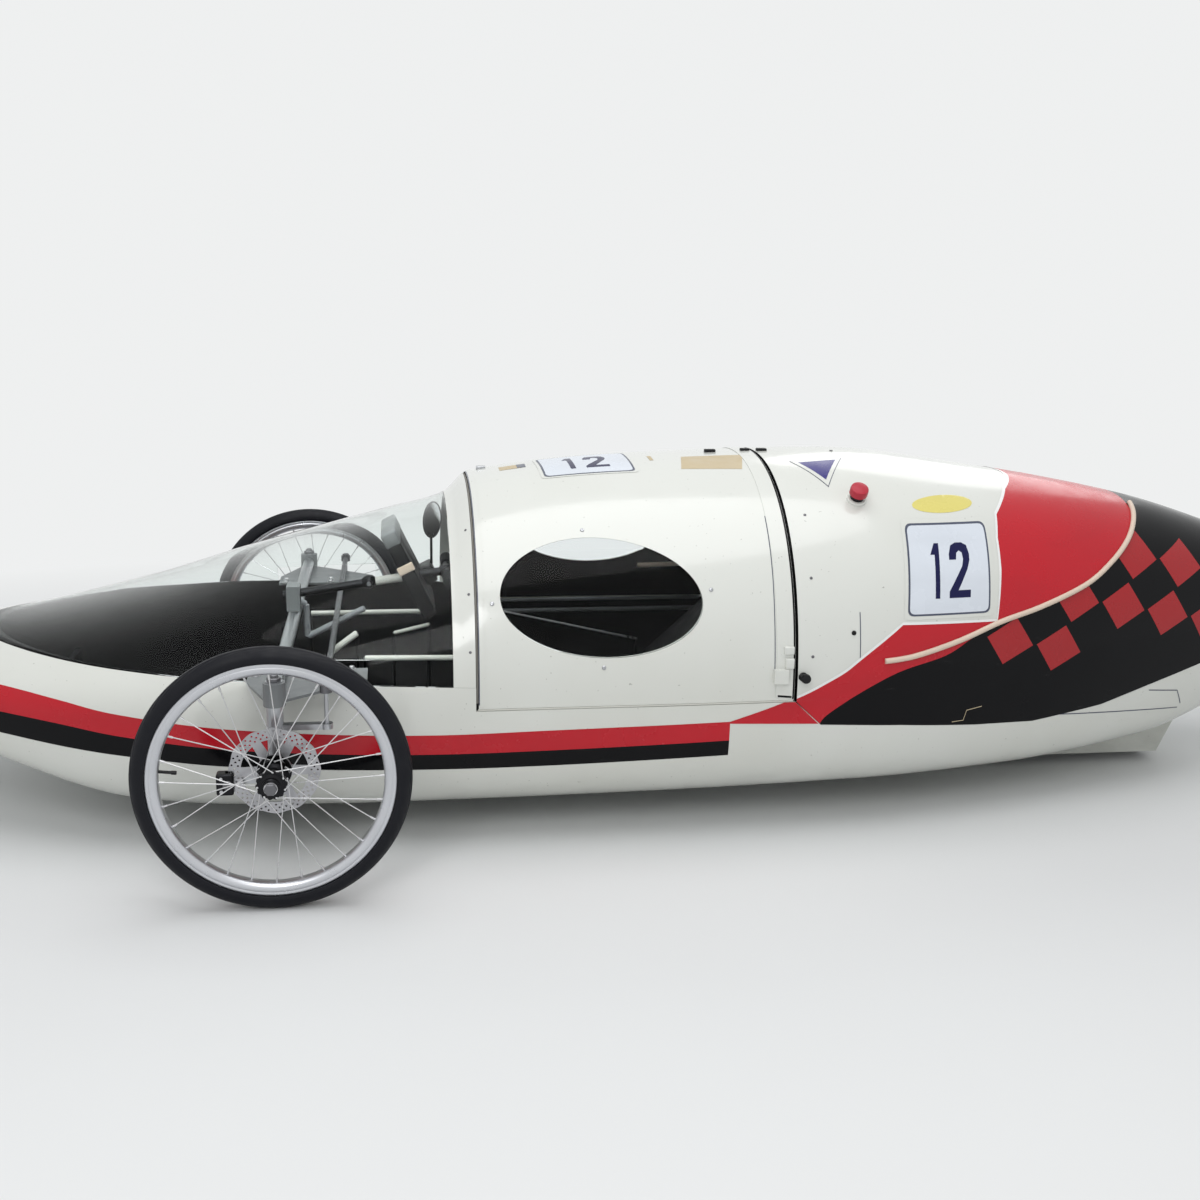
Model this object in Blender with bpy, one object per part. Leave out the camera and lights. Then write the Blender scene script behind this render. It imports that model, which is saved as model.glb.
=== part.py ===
"""A low three-wheeled enclosed single-seater: two spoked front wheels steer outside a teardrop body.

Frame: X points to the nose, Y to the vehicle's left side, Z up, the ground at Z = 0, in metres.
The origin is on the ground under the middle of the body. Every sub-part is an object of its own.
"""

import math

import bmesh
import bpy
import numpy as np
from mathutils import Matrix, Vector

# Overall sizes. The body's tables are written for 1.62 m and 1.24 m, and stretch with these two
WHEELBASE = 1.62
TRACK = 1.24
LONG = WHEELBASE / 1.62
WIDE = TRACK / 1.24
BODY_LENGTH = 3.40 * LONG
AXLE_SETBACK = 0.90 * LONG
NOSE_X = BODY_LENGTH / 2
FRONT_X = NOSE_X - AXLE_SETBACK
REAR_X = FRONT_X - WHEELBASE

# Clearances: pieces that touch, and pieces that move past each other
SEAT_GAP = 0.0003
RUNNING_GAP = 0.005

# Body shell: wall, and the roundness of a section below and above its widest line
WALL = 0.008
SCREEN_WALL = 0.004
LOWER_ROUNDNESS = 3.6
UPPER_ROUNDNESS = 2.2
BODY_STATIONS = 20
END_CROWDING = 0.13
BODY_COLUMNS = 32

# Body sections: (from_nose, bottom, widest, top, half_width), before they stretch
BODY_SECTIONS = [
    (0.00, 0.284, 0.290, 0.296, 0.010),
    (0.01, 0.262, 0.289, 0.312, 0.052),
    (0.03, 0.245, 0.288, 0.325, 0.088),
    (0.12, 0.203, 0.282, 0.351, 0.172),
    (0.34, 0.136, 0.272, 0.382, 0.288),
    (0.60, 0.060, 0.270, 0.441, 0.385),
    (0.80, 0.045, 0.275, 0.503, 0.418),
    (1.10, 0.040, 0.280, 0.588, 0.430),
    (1.22, 0.040, 0.284, 0.622, 0.430),
    (1.27, 0.040, 0.285, 0.668, 0.430),
    (1.60, 0.043, 0.290, 0.708, 0.430),
    (2.05, 0.050, 0.295, 0.722, 0.415),
    (2.40, 0.055, 0.305, 0.683, 0.350),
    (2.75, 0.085, 0.335, 0.620, 0.255),
    (3.05, 0.195, 0.370, 0.530, 0.160),
    (3.30, 0.335, 0.405, 0.462, 0.065),
    (3.40, 0.412, 0.425, 0.438, 0.012),
]

# Where the panels meet, in metres behind the nose tip and above the ground
SCREEN_TIP = 0.24 * LONG
SCREEN_TIP_Z = 0.372
HOOP_FRONT = 1.220 * LONG
HOOP_REAR = HOOP_FRONT + 0.042
SILL_Z = 0.335
HATCH_REAR = 1.882 * LONG
HATCH_SEAM_Z = 0.290
TAIL_SEAM = [(1.885, 0.290), (1.94, 0.238), (2.11, 0.228), (2.28, 0.212), (2.42, 0.204), (2.60, 0.221)]
TAIL_SEAM += [(2.72, 0.250), (2.85, 0.281), (3.45, 0.425)]
TAIL_PANEL_FRONT = 2.90 * LONG

# Cutters reach this far past what they cut, and to this height over the body
BEYOND = 0.1
HIGH = 1.0

# Side windows in the hatch: place of each centre behind the nose, its height and half sizes
WINDOW_LEFT = 1.505 * LONG
WINDOW_RIGHT = 1.575 * LONG
WINDOW_Z = 0.490
WINDOW_HALF_LENGTH = 0.195 * LONG
WINDOW_HALF_HEIGHT = 0.105
WINDOW_TILT = math.radians(3.0)
PANE_WALL = 0.003

# Wheels
WHEEL_RADIUS = 0.240
TYRE_WIDTH = 0.040
TYRE_POINTS = 7
TYRE_ABOVE_RIM = 0.027
RIM_RADIUS = WHEEL_RADIUS - TYRE_ABOVE_RIM
RIM_DEPTH = 0.0220
RIM_WIDTH = 0.029
RIM_BED = RIM_RADIUS - 0.0095
RIM_WALL = 0.003
HUB_RADIUS = 0.015
HUB_HALF = 0.043
FLANGE_RADIUS = 0.027
FLANGE_HALF = 0.002
FLANGE_OUT = 0.026
SPOKES = 28
SPOKE_RADIUS = 0.0011
SPOKE_LEAN = math.radians(58.0)
AXLE_RADIUS = 0.008
AXLE_PAST_HUB = 0.009
WHEEL_SEGMENTS = 24
HUB_SEGMENTS = 16

# Brake disc and caliper
DISC_RADIUS = 0.080
DISC_WIDTH = 0.002
DISC_INSET = 0.041
DISC_HOLE_CIRCLE = 0.045
DISC_HOLE_RADIUS = 0.016
DISC_HOLE_TURN = math.radians(4.0)
DISC_SIDES = 24
CALIPER_FORWARD = 0.070
CALIPER_DROP = 0.020
CALIPER_SIZE = (0.030, 0.040)
CALIPER_HALF = 0.012
BRACKET_HALF = 0.006
BRACKET_LAP = 0.003

# Kingpins, gussets and the beam that carries them
KINGPIN_OFFSET = 0.088
KINGPIN_RADIUS = 0.008
SLEEVE_RADIUS = 0.015
SLEEVE_LOW = WHEEL_RADIUS - 0.055
COLLAR_RADIUS = 0.013
GUSSET_THICKNESS = 0.005
GUSSET_FRONT = 0.060
GUSSET_BACK = 0.160
GUSSET_INNER_Y = 0.350 * WIDE
GUSSET_SHOULDER = 0.070
BEAM_RADIUS = 0.013
BOSS_RADIUS = 0.020
BOSS_HEIGHT = 0.034
BOSS_BELOW_PLATE = 0.004

# Steering linkage
STEER_ARM = 0.090
STEER_ARM_Z = SILL_Z - 0.035
STEER_ARM_THICKNESS = 0.010
STEER_PIN_RADIUS = 0.004
EYE_RADIUS = 0.011
TIE_ROD_RADIUS = 0.006
TIE_ROD_RISE = 0.020
COLUMN_RADIUS = 0.009
COLUMN_FRONT = (AXLE_SETBACK - 0.022, 0.412)
COLUMN_REAR = (1.225 * LONG, 0.462)
BRACKET_BLOCK = (0.014, 0.020, 0.022)
GRIP_HALF = 0.120
GRIP_RADIUS = 0.013

# Instrument board, top and bottom of its middle line, behind the nose and above the ground
BOARD_TOP = (1.100 * LONG, 0.560)
BOARD_FOOT = (1.185 * LONG, 0.385)
BOARD_THICKNESS = 0.030
BOARD_HALF_WIDTH = 0.090
MIRROR_RADIUS = 0.039
MIRROR_THICKNESS = 0.010
MIRROR_PLACE = (1.192 * LONG, 0.563)
MIRROR_Y = -0.045
MIRROR_TURN = math.radians(30.0)
MIRROR_STALK = 0.003

# Hatch hinge on the right side
HINGE_RADIUS = 0.007
HINGE_PIN = 0.003
HINGE_LENGTH = 0.030
HINGE_PLACES = (1.40 * LONG, 1.75 * LONG)
HINGE_OUT = 0.0105
LEAF_LAP = 0.002
LEAF_RISE = 0.030
LEAF_DROP = 0.032

# Rear wheel bay, engine and fairing
REAR_HUB_HALF = 0.040
DROPOUT_OUT = 0.062
DROPOUT_THICKNESS = 0.006
DROPOUT_HALF_LENGTH = 0.150
DROPOUT_SHOULDERS = (0.085, 0.120)
DROPOUT_TOP = 0.028
BAY_HALF_WIDTH = 0.048
BAY_HALF_LENGTH = WHEEL_RADIUS - 0.010
BULKHEAD_FRONT = HATCH_REAR + 0.018
BULKHEAD_THICKNESS = 0.012
ENGINE_BEHIND_BULKHEAD = 0.020
ENGINE_LENGTH = 0.230 * LONG
ENGINE_HALF_WIDTH = 0.120
ENGINE_HEIGHT = 0.230
FAIRING_HALF_WIDTH = 0.066
FAIRING_WALL = 0.005
FAIRING_BOTTOM = 0.020
FAIRING_TOP = 0.122
FAIRING_AHEAD = 0.080
FAIRING_BEHIND = 0.158
FAIRING_RAKE = 0.045

# Seat: (from_nose, height) of its underside, from the thighs to the head
SEAT_HALF_WIDTH = 0.190
SEAT_THICKNESS = 0.012
SEAT_LAST_RISE = 0.045
SEAT_LINE = [(1.22, 0.125), (1.34, 0.075), (1.45, 0.062), (1.56, 0.105), (1.70, 0.215), (1.84, 0.345)]

# Foot rest on the floor, and the red stop button on the tail cover
FOOT_REST = 0.42 * LONG
FOOT_REST_THICKNESS = 0.012
FOOT_REST_HALF_WIDTH = 0.130
FOOT_REST_HEIGHT = 0.150
BUTTON_PLACE = (2.042 * LONG, 0.655)
BUTTON_RADIUS = 0.020
BUTTON_HEIGHT = 0.034
LATCH_AHEAD = 0.030
LATCH_RISE = 0.052
LATCH_BLOCK = (0.014, 0.012, 0.014)


def along(from_nose):
    """X of a place that is measured behind the nose tip."""
    return NOSE_X - from_nose


def section_at(from_nose):
    """Bottom, widest, top and half width there, by a monotone cubic through the table's rows."""
    rows = np.array(BODY_SECTIONS) * (LONG, 1, 1, 1, WIDE)
    at = rows[:, 0]
    steps = np.diff(at)
    slopes = np.diff(rows[:, 1:], axis=0) / steps[:, None]
    tangents = np.zeros_like(rows[:, 1:])
    same = slopes[:-1] * slopes[1:] > 0
    tangents[1:-1][same] = (2 * slopes[:-1] * slopes[1:] / (slopes[:-1] + slopes[1:] + 1e-12))[same]
    tangents[0], tangents[-1] = slopes[0], slopes[-1]
    place = min(max(from_nose, at[0]), at[-1])
    i = min(int(np.searchsorted(at, place, side="right")) - 1, len(steps) - 1)
    t = (place - at[i]) / steps[i]
    low, high = rows[i, 1:], rows[i + 1, 1:]
    return (
        (1 + 2 * t) * (1 - t) ** 2 * low
        + t * (1 - t) ** 2 * steps[i] * tangents[i]
        + t * t * (3 - 2 * t) * high
        + t * t * (t - 1) * steps[i] * tangents[i + 1]
    )


def section_point(from_nose, angle, inset=0.0):
    """A point of the body's skin: angle 0 is the left widest line, 90 degrees the top, -90 the bottom."""
    bottom, widest, top, half = section_at(from_nose)
    c, s = math.cos(angle), math.sin(angle)
    power = 2 / (UPPER_ROUNDNESS if s > 0 else LOWER_ROUNDNESS)
    height = (top - widest if s > 0 else widest - bottom) - inset
    y = math.copysign(abs(c) ** power, c) * max(half - inset, 0.001)
    z = widest + math.copysign(abs(s) ** power, s) * max(height, 0.001)
    return Vector((along(from_nose), y, z))


def skin_y(from_nose, z, inset=0.0):
    """Half width of the skin at this place and height."""
    bottom, widest, top, half = section_at(from_nose)
    power = UPPER_ROUNDNESS if z > widest else LOWER_ROUNDNESS
    height = (top - widest if z > widest else widest - bottom) - inset
    share = min(abs(z - widest) / height, 1.0)
    return (half - inset) * (1 - share**power) ** (1 / power)


def skin_z(from_nose, y, inset=0.0, top=True):
    """Height of the skin at this place and distance from the middle, on the roof or the floor."""
    bottom, widest, roof, half = section_at(from_nose)
    power = UPPER_ROUNDNESS if top else LOWER_ROUNDNESS
    height = (roof - widest if top else widest - bottom) - inset
    share = min(abs(y) / (half - inset), 1.0)
    rise = height * (1 - share**power) ** (1 / power)
    return widest + rise if top else widest - rise


def skin_normal(from_nose, z):
    """Outward direction of the left skin at this place and height, above the widest line."""
    step = 0.002
    y = skin_y(from_nose, z)
    run = Vector((-2 * step, skin_y(from_nose + step, z) - skin_y(from_nose - step, z), 0))
    rise = Vector((0, skin_y(from_nose, z + step) - skin_y(from_nose, z - step), 2 * step))
    normal = rise.cross(run).normalized()
    return normal if normal.y * y > 0 else -normal


def material(name, color, roughness, metallic=0.0, alpha=1.0):
    found = bpy.data.materials.get(name)
    if found:
        return found
    made = bpy.data.materials.new(name)
    made.use_nodes = True
    shader = made.node_tree.nodes["Principled BSDF"]
    shader.inputs["Base Color"].default_value = (*color, 1)
    shader.inputs["Roughness"].default_value = roughness
    shader.inputs["Metallic"].default_value = metallic
    shader.inputs["Alpha"].default_value = alpha
    return made


def white_paint():
    return material("white_paint", (0.83, 0.84, 0.82), 0.3)


def clear_plastic():
    return material("clear_plastic", (0.85, 0.9, 0.92), 0.05, alpha=0.3)


def carbon():
    return material("black_carbon", (0.012, 0.012, 0.015), 0.25)


def aluminium():
    return material("aluminium", (0.62, 0.63, 0.65), 0.35, 1.0)


def grey_steel():
    return material("grey_steel", (0.20, 0.21, 0.22), 0.45, 0.8)


def black_plastic():
    return material("black_plastic", (0.02, 0.02, 0.022), 0.5)


def new_object(name, mesh, look):
    made = bpy.data.objects.new(name, mesh)
    bpy.context.scene.collection.objects.link(made)
    made.data.materials.append(look)
    return made


def from_bmesh(name, shape, look):
    bmesh.ops.recalc_face_normals(shape, faces=shape.faces)
    mesh = bpy.data.meshes.new(name)
    shape.to_mesh(mesh)
    shape.free()
    return new_object(name, mesh, look)


def baked(target):
    """The object's own mesh is replaced by what its modifiers make of it."""
    bpy.context.view_layer.update()
    graph = bpy.context.evaluated_depsgraph_get()
    mesh = bpy.data.meshes.new_from_object(target.evaluated_get(graph))
    target.modifiers.clear()
    target.data = mesh
    return target


def combined(target, tool, operation):
    """Joins, cuts or crosses the target with a tool object, which is then removed."""
    modifier = target.modifiers.new(operation.lower(), "BOOLEAN")
    modifier.object = tool
    modifier.operation = operation
    modifier.solver = "EXACT"
    baked(target)
    bpy.data.objects.remove(tool)
    return target


def joined(target, *others):
    for other in others:
        combined(target, other, "UNION")
    return target


def cut(target, *others):
    for other in others:
        combined(target, other, "DIFFERENCE")
    return target


def smooth(target, degrees=35):
    target.data.shade_smooth()
    target.data.set_sharp_from_angle(angle=math.radians(degrees))
    return target


def with_origin(target, point):
    """Puts the object's origin at a point of the world and leaves its shape where it is."""
    target.data.transform(Matrix.Translation(-Vector(point)))
    target.location = point
    return target


def block(name, low, high, look):
    shape = bmesh.new()
    made = bmesh.ops.create_cube(shape, size=1.0)
    low, high = Vector(low), Vector(high)
    bmesh.ops.scale(shape, vec=high - low, verts=made["verts"])
    bmesh.ops.translate(shape, vec=(low + high) / 2, verts=made["verts"])
    return from_bmesh(name, shape, look)


def rod(name, start, end, radius, look, sides=16, end_radius=None):
    """A round bar between two points, or a cone if its end has its own radius."""
    start, end = Vector(start), Vector(end)
    shape = bmesh.new()
    bmesh.ops.create_cone(
        shape,
        cap_ends=True,
        segments=sides,
        radius1=radius,
        radius2=radius if end_radius is None else end_radius,
        depth=(end - start).length,
    )
    turn = (end - start).to_track_quat("Z", "Y").to_matrix().to_4x4()
    bmesh.ops.transform(shape, matrix=Matrix.Translation((start + end) / 2) @ turn, verts=shape.verts)
    return from_bmesh(name, shape, look)


def plate(name, outline, low, high, look, normal="Y"):
    """A flat outline pushed along an axis: (x, z) corners along Y, or (x, y) corners along Z."""
    shape = bmesh.new()
    if normal == "Y":
        corners = [shape.verts.new((x, low, z)) for x, z in outline]
        push = Vector((0, high - low, 0))
    else:
        corners = [shape.verts.new((x, y, low)) for x, y in outline]
        push = Vector((0, 0, high - low))
    face = shape.faces.new(corners)
    pushed = bmesh.ops.extrude_face_region(shape, geom=[face])
    moved = [item for item in pushed["geom"] if isinstance(item, bmesh.types.BMVert)]
    bmesh.ops.translate(shape, vec=push, verts=moved)
    return from_bmesh(name, shape, look)


def turned(name, profile, centre, look, segments=WHEEL_SEGMENTS):
    """A closed profile of (radius, offset) turned about the wheel axis through the centre."""
    shape = bmesh.new()
    rings = []
    for i in range(segments):
        angle = 2 * math.pi * i / segments
        c, s = math.cos(angle), math.sin(angle)
        rings.append([shape.verts.new(Vector(centre) + Vector((r * c, o, r * s))) for r, o in profile])
    for i, ring in enumerate(rings):
        after = rings[(i + 1) % segments]
        for j in range(len(profile)):
            k = (j + 1) % len(profile)
            shape.faces.new((ring[j], ring[k], after[k], after[j]))
    return from_bmesh(name, shape, look)


def body_places():
    """Section places behind the nose, closer together at the two ends, with one on each side of the hoop."""
    share = np.linspace(0, 1, BODY_STATIONS)
    eased = share - END_CROWDING * np.sin(2 * math.pi * share)
    beside_hoop = [HOOP_FRONT - RUNNING_GAP, HOOP_REAR + 2 * RUNNING_GAP]
    return sorted([float(value) * BODY_LENGTH for value in eased] + beside_hoop)


def body_solid(name, inset, look=None):
    """The whole body as one closed solid, with its skin moved in by the inset."""
    shape = bmesh.new()
    rings = []
    places = [min(max(place, inset), BODY_LENGTH - inset) for place in body_places()]
    for place in places:
        angles = [2 * math.pi * i / BODY_COLUMNS for i in range(BODY_COLUMNS)]
        rings.append([shape.verts.new(section_point(place, angle, inset)) for angle in angles])
    for ring, after in zip(rings, rings[1:]):
        for j in range(BODY_COLUMNS):
            k = (j + 1) % BODY_COLUMNS
            shape.faces.new((ring[j], ring[k], after[k], after[j]))
    shape.faces.new(rings[0])
    shape.faces.new(rings[-1])
    return from_bmesh(name, shape, look or white_paint())


def body_shell(name, wall, look):
    return cut(body_solid(name, 0.0, look), body_solid("inner", wall))


def side_prism(name, outline, reach=1.0):
    """A cutter across the whole width, from (behind the nose, height) corners."""
    return plate(name, [(along(place), z) for place, z in outline], -reach, reach, white_paint())


def sill_z(from_nose):
    """Height of the cockpit opening's edge, which rises to the tip of the windscreen."""
    share = (HOOP_FRONT - from_nose) / (HOOP_FRONT - SCREEN_TIP)
    return SILL_Z + (SCREEN_TIP_Z - SILL_Z) * share


def tail_seam():
    """(from_nose, height) corners of the line between the tub and the tail cover."""
    return [(place * LONG, z) for place, z in TAIL_SEAM]


def make_tub():
    """The lower body: closed at the nose, open above the sill, with a bay for the rear wheel."""
    tub = body_shell("tub_shell", WALL, white_paint())
    tip, end = SCREEN_TIP - BEYOND, BODY_LENGTH + BEYOND
    above = [(tip, sill_z(tip)), (HOOP_REAR, sill_z(HOOP_REAR)), (HOOP_REAR, HATCH_SEAM_Z - RUNNING_GAP / 2)]
    above += [(place, z - (SEAT_GAP if i else RUNNING_GAP / 2)) for i, (place, z) in enumerate(tail_seam())]
    above += [(tail_seam()[-1][0], HIGH), (tip, HIGH)]
    cut(tub, side_prism("above", above))
    behind = [(TAIL_PANEL_FRONT, 0), (end, 0), (end, HIGH), (TAIL_PANEL_FRONT, HIGH)]
    cut(tub, side_prism("behind", behind))
    bay = block(
        "bay",
        (REAR_X - BAY_HALF_LENGTH, -BAY_HALF_WIDTH, 0),
        (REAR_X + BAY_HALF_LENGTH, BAY_HALF_WIDTH, WHEEL_RADIUS),
        white_paint(),
    )
    return smooth(cut(tub, bay))


def make_tail_panel():
    """The small end cone under the tail cover."""
    panel = body_shell("tail_underpanel", WALL, white_paint())
    start = TAIL_PANEL_FRONT + SEAT_GAP
    end = BODY_LENGTH + BEYOND
    outline = [(start, 0), (end, 0)]
    outline += [(place, tail_seam_z(place) - SEAT_GAP) for place in (end, start)]
    return smooth(combined(panel, side_prism("region", outline), "INTERSECT"))


def tail_seam_z(from_nose):
    places, heights = zip(*tail_seam())
    return float(np.interp(from_nose, places, heights))


def make_tail_cover():
    """The upper rear body, from the cab's rear edge to the tail tip."""
    cover = body_shell("tail_cover", WALL, white_paint())
    front = HATCH_REAR + 2 * SEAT_GAP + RUNNING_GAP
    outline = [(front, HIGH), (front, tail_seam_z(front))] + tail_seam()[1:] + [(tail_seam()[-1][0], HIGH)]
    return smooth(combined(cover, side_prism("region", outline), "INTERSECT"))


def make_hoop():
    """The white hoop that frames the front of the cab."""
    hoop = body_shell("cab_hoop", WALL * 1.5, white_paint())
    foot = sill_z(HOOP_REAR) + SEAT_GAP
    outline = [(HOOP_FRONT, HIGH), (HOOP_FRONT, sill_z(HOOP_FRONT) + SEAT_GAP), (HOOP_REAR - SEAT_GAP, foot)]
    outline += [(HOOP_REAR - SEAT_GAP, HIGH)]
    return smooth(combined(hoop, side_prism("region", outline), "INTERSECT"))


def make_windscreen():
    """One clear sheet from its tip on the nose back to the hoop, notched over the beam and the tie rod."""
    screen = body_shell("windscreen", SCREEN_WALL, clear_plastic())
    tip, foot = SCREEN_TIP - BEYOND, HOOP_FRONT - SEAT_GAP
    notch_top = tie_rod_z() + TIE_ROD_RADIUS + RUNNING_GAP
    notch_front = AXLE_SETBACK - GUSSET_FRONT - RUNNING_GAP
    notch_back = AXLE_SETBACK + GUSSET_BACK + RUNNING_GAP
    outline = [(tip, HIGH), (tip, sill_z(tip) + SEAT_GAP), (notch_front, sill_z(notch_front) + SEAT_GAP)]
    outline += [(notch_front, notch_top), (notch_back, notch_top)]
    outline += [(notch_back, sill_z(notch_back) + SEAT_GAP)]
    outline += [(foot, sill_z(foot) + SEAT_GAP), (foot, HIGH)]
    return smooth(combined(screen, side_prism("region", outline), "INTERSECT"))


def window_outline(centre, grow=0.0, count=28):
    """(x, z) corners of the oval window, leaning a little to the nose at its foot."""
    corners = []
    for i in range(count):
        angle = 2 * math.pi * i / count
        x = (WINDOW_HALF_LENGTH + grow) * math.cos(angle)
        z = (WINDOW_HALF_HEIGHT + grow) * math.sin(angle)
        turned_x = x * math.cos(WINDOW_TILT) - z * math.sin(WINDOW_TILT)
        turned_z = x * math.sin(WINDOW_TILT) + z * math.cos(WINDOW_TILT)
        corners.append((along(centre) + turned_x, WINDOW_Z + turned_z))
    return corners


def hatch_bounds():
    return HOOP_REAR + RUNNING_GAP, HATCH_REAR - SEAT_GAP


def hinge_axis():
    """Height and Y of the hatch's hinge axis, outside the right skin at the seam."""
    middle = (HINGE_PLACES[0] + HINGE_PLACES[1]) / 2
    return -(skin_y(middle, HATCH_SEAM_Z) + HINGE_OUT), HATCH_SEAM_Z


def make_hatch():
    """The cab's roof and sides in one piece, with two oval windows and the hinge lugs on its right."""
    hatch = body_shell("hatch_shell", WALL, white_paint())
    front, rear = hatch_bounds()
    low = HATCH_SEAM_Z + RUNNING_GAP / 2
    region = [(front, low), (rear, low), (rear, HIGH), (front, HIGH)]
    combined(hatch, side_prism("region", region), "INTERSECT")
    cut(hatch, plate("left", window_outline(WINDOW_LEFT), BEYOND, HIGH, white_paint()))
    cut(hatch, plate("right", window_outline(WINDOW_RIGHT), -HIGH, -BEYOND, white_paint()))
    for lug in hatch_lugs():
        joined(hatch, lug)
    y, z = hinge_axis()
    return with_origin(smooth(hatch), (along(HINGE_PLACES[0]), y, z))


def hatch_lugs():
    """Two barrels at each hinge, on leaves that lie on the hatch's right side."""
    y, z = hinge_axis()
    lugs = []
    for place in HINGE_PLACES:
        x = along(place)
        inner = HINGE_LENGTH / 2 + SEAT_GAP
        for side in (-1, 1):
            ends = sorted((x + side * inner, x + side * (inner + HINGE_LENGTH / 2)))
            lug = rod("lug", (ends[0], y, z), (ends[1], y, z), HINGE_RADIUS, white_paint())
            leaf_low = (ends[0], y, z + LEAF_LAP)
            leaf_high = (ends[1], -skin_y(place, z + LEAF_RISE) + WALL / 2, z + LEAF_RISE)
            joined(lug, block("leaf", leaf_low, leaf_high, white_paint()))
            through = (ends[0] - HINGE_LENGTH, y, z), (ends[1] + HINGE_LENGTH, y, z)
            lugs.append(cut(lug, rod("bore", *through, HINGE_PIN + SEAT_GAP, white_paint(), 12)))
    return lugs


def make_hinge_bases():
    """The fixed halves of the hinges: a barrel with its pin, on a leaf against the tub."""
    y, z = hinge_axis()
    made = []
    for index, place in enumerate(HINGE_PLACES):
        x = along(place)
        name = ("hatch_hinge_front", "hatch_hinge_rear")[index]
        half = HINGE_LENGTH / 2
        barrel = rod(name, (x - half, y, z), (x + half, y, z), HINGE_RADIUS, aluminium())
        face = -(skin_y(place, z) + SEAT_GAP)
        leaf = block("leaf", (x - half, y - LEAF_LAP, z - LEAF_DROP), (x + half, face, z), aluminium())
        pin = rod("pin", (x - 2 * half, y, z), (x + 2 * half, y, z), HINGE_PIN, aluminium(), 12)
        made.append(smooth(joined(barrel, leaf, pin)))
    return made


def make_pane(name, centre, sign):
    """A clear pane that fills its window and follows the hatch's curve."""
    pane = body_shell(name, PANE_WALL, clear_plastic())
    low, high = sorted((BEYOND * sign, HIGH * sign))
    outline = plate("outline", window_outline(centre, -SEAT_GAP), low, high, clear_plastic())
    return smooth(combined(pane, outline, "INTERSECT"))


def tyre_profile():
    """(radius, offset): a round casing on a foot that sits between the rim's walls."""
    round_radius = TYRE_WIDTH / 2
    middle = WHEEL_RADIUS - round_radius
    foot = RIM_WIDTH / 2 - RIM_WALL - SEAT_GAP
    shoulder = RIM_RADIUS + SEAT_GAP
    reach = math.acos((shoulder - middle) / round_radius)
    points = [(RIM_BED + SEAT_GAP, -foot), (shoulder, -foot)]
    for i in range(TYRE_POINTS):
        angle = reach * (2 * i / (TYRE_POINTS - 1) - 1)
        points.append((middle + round_radius * math.cos(angle), round_radius * math.sin(angle)))
    return points + [(shoulder, foot), (RIM_BED + SEAT_GAP, foot)]


def make_tyre(name, centre):
    rubber = material("tyre_rubber", (0.015, 0.015, 0.016), 0.75)
    return with_origin(smooth(turned(name, tyre_profile(), centre, rubber)), centre)


def rim_profile():
    """(radius, offset): a box section with two walls that hold the tyre's foot."""
    half = RIM_WIDTH / 2
    foot = RIM_RADIUS - RIM_DEPTH
    side = [(foot, half * 0.55), (RIM_BED - RIM_WALL, half), (RIM_RADIUS, half)]
    side += [(RIM_RADIUS, half - RIM_WALL), (RIM_BED, half - RIM_WALL)]
    return side + [(r, -o) for r, o in side[::-1]]


def hub_profile(half):
    """(radius, offset): a bored barrel with two spoke flanges."""
    bore = AXLE_RADIUS + SEAT_GAP
    flange = [
        (HUB_RADIUS, FLANGE_OUT - FLANGE_HALF),
        (FLANGE_RADIUS, FLANGE_OUT - FLANGE_HALF),
        (FLANGE_RADIUS, FLANGE_OUT + FLANGE_HALF),
        (HUB_RADIUS, FLANGE_OUT + FLANGE_HALF),
    ]
    left = [(r, -o) for r, o in flange[::-1]]
    return [(bore, -half), (HUB_RADIUS, -half)] + left + flange + [(HUB_RADIUS, half), (bore, half)]


def spoke_ends(centre, index):
    """Where one spoke leaves its flange and meets the rim. Neighbours take turns by flange and by lean."""
    flange = 1 if index % 2 else -1
    lean = 1 if (index // 2) % 2 else -1
    angle = 2 * math.pi * index / SPOKES
    start_angle = angle + lean * SPOKE_LEAN
    hub_r = FLANGE_RADIUS - 0.003
    rim_r = RIM_RADIUS - RIM_DEPTH + 0.002
    head = flange * (FLANGE_OUT + lean * (FLANGE_HALF + SPOKE_RADIUS * 0.4))
    start = Vector((hub_r * math.cos(start_angle), head, hub_r * math.sin(start_angle)))
    end = Vector((rim_r * math.cos(angle), flange * 0.003, rim_r * math.sin(angle)))
    return Vector(centre) + start, Vector(centre) + end


def make_spoked_wheel(name, centre, half=HUB_HALF):
    """Rim, hub and laced spokes as one piece."""
    wheel = turned(name, rim_profile(), centre, aluminium())
    hub = turned("hub", hub_profile(half), centre, aluminium(), HUB_SEGMENTS)
    spokes = bmesh.new()
    for index in range(SPOKES):
        start, end = spoke_ends(centre, index)
        made = bmesh.ops.create_cone(
            spokes,
            cap_ends=True,
            segments=4,
            radius1=SPOKE_RADIUS,
            radius2=SPOKE_RADIUS,
            depth=(end - start).length,
        )
        turn = (end - start).to_track_quat("Z", "Y").to_matrix().to_4x4()
        bmesh.ops.transform(spokes, matrix=Matrix.Translation((start + end) / 2) @ turn, verts=made["verts"])
    laced = from_bmesh("spokes", spokes, aluminium())
    joined(wheel, laced, hub)
    return with_origin(smooth(wheel), centre)


def wheel_centre(side):
    return (FRONT_X, side * TRACK / 2, WHEEL_RADIUS)


def kingpin_y():
    return TRACK / 2 - KINGPIN_OFFSET


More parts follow.
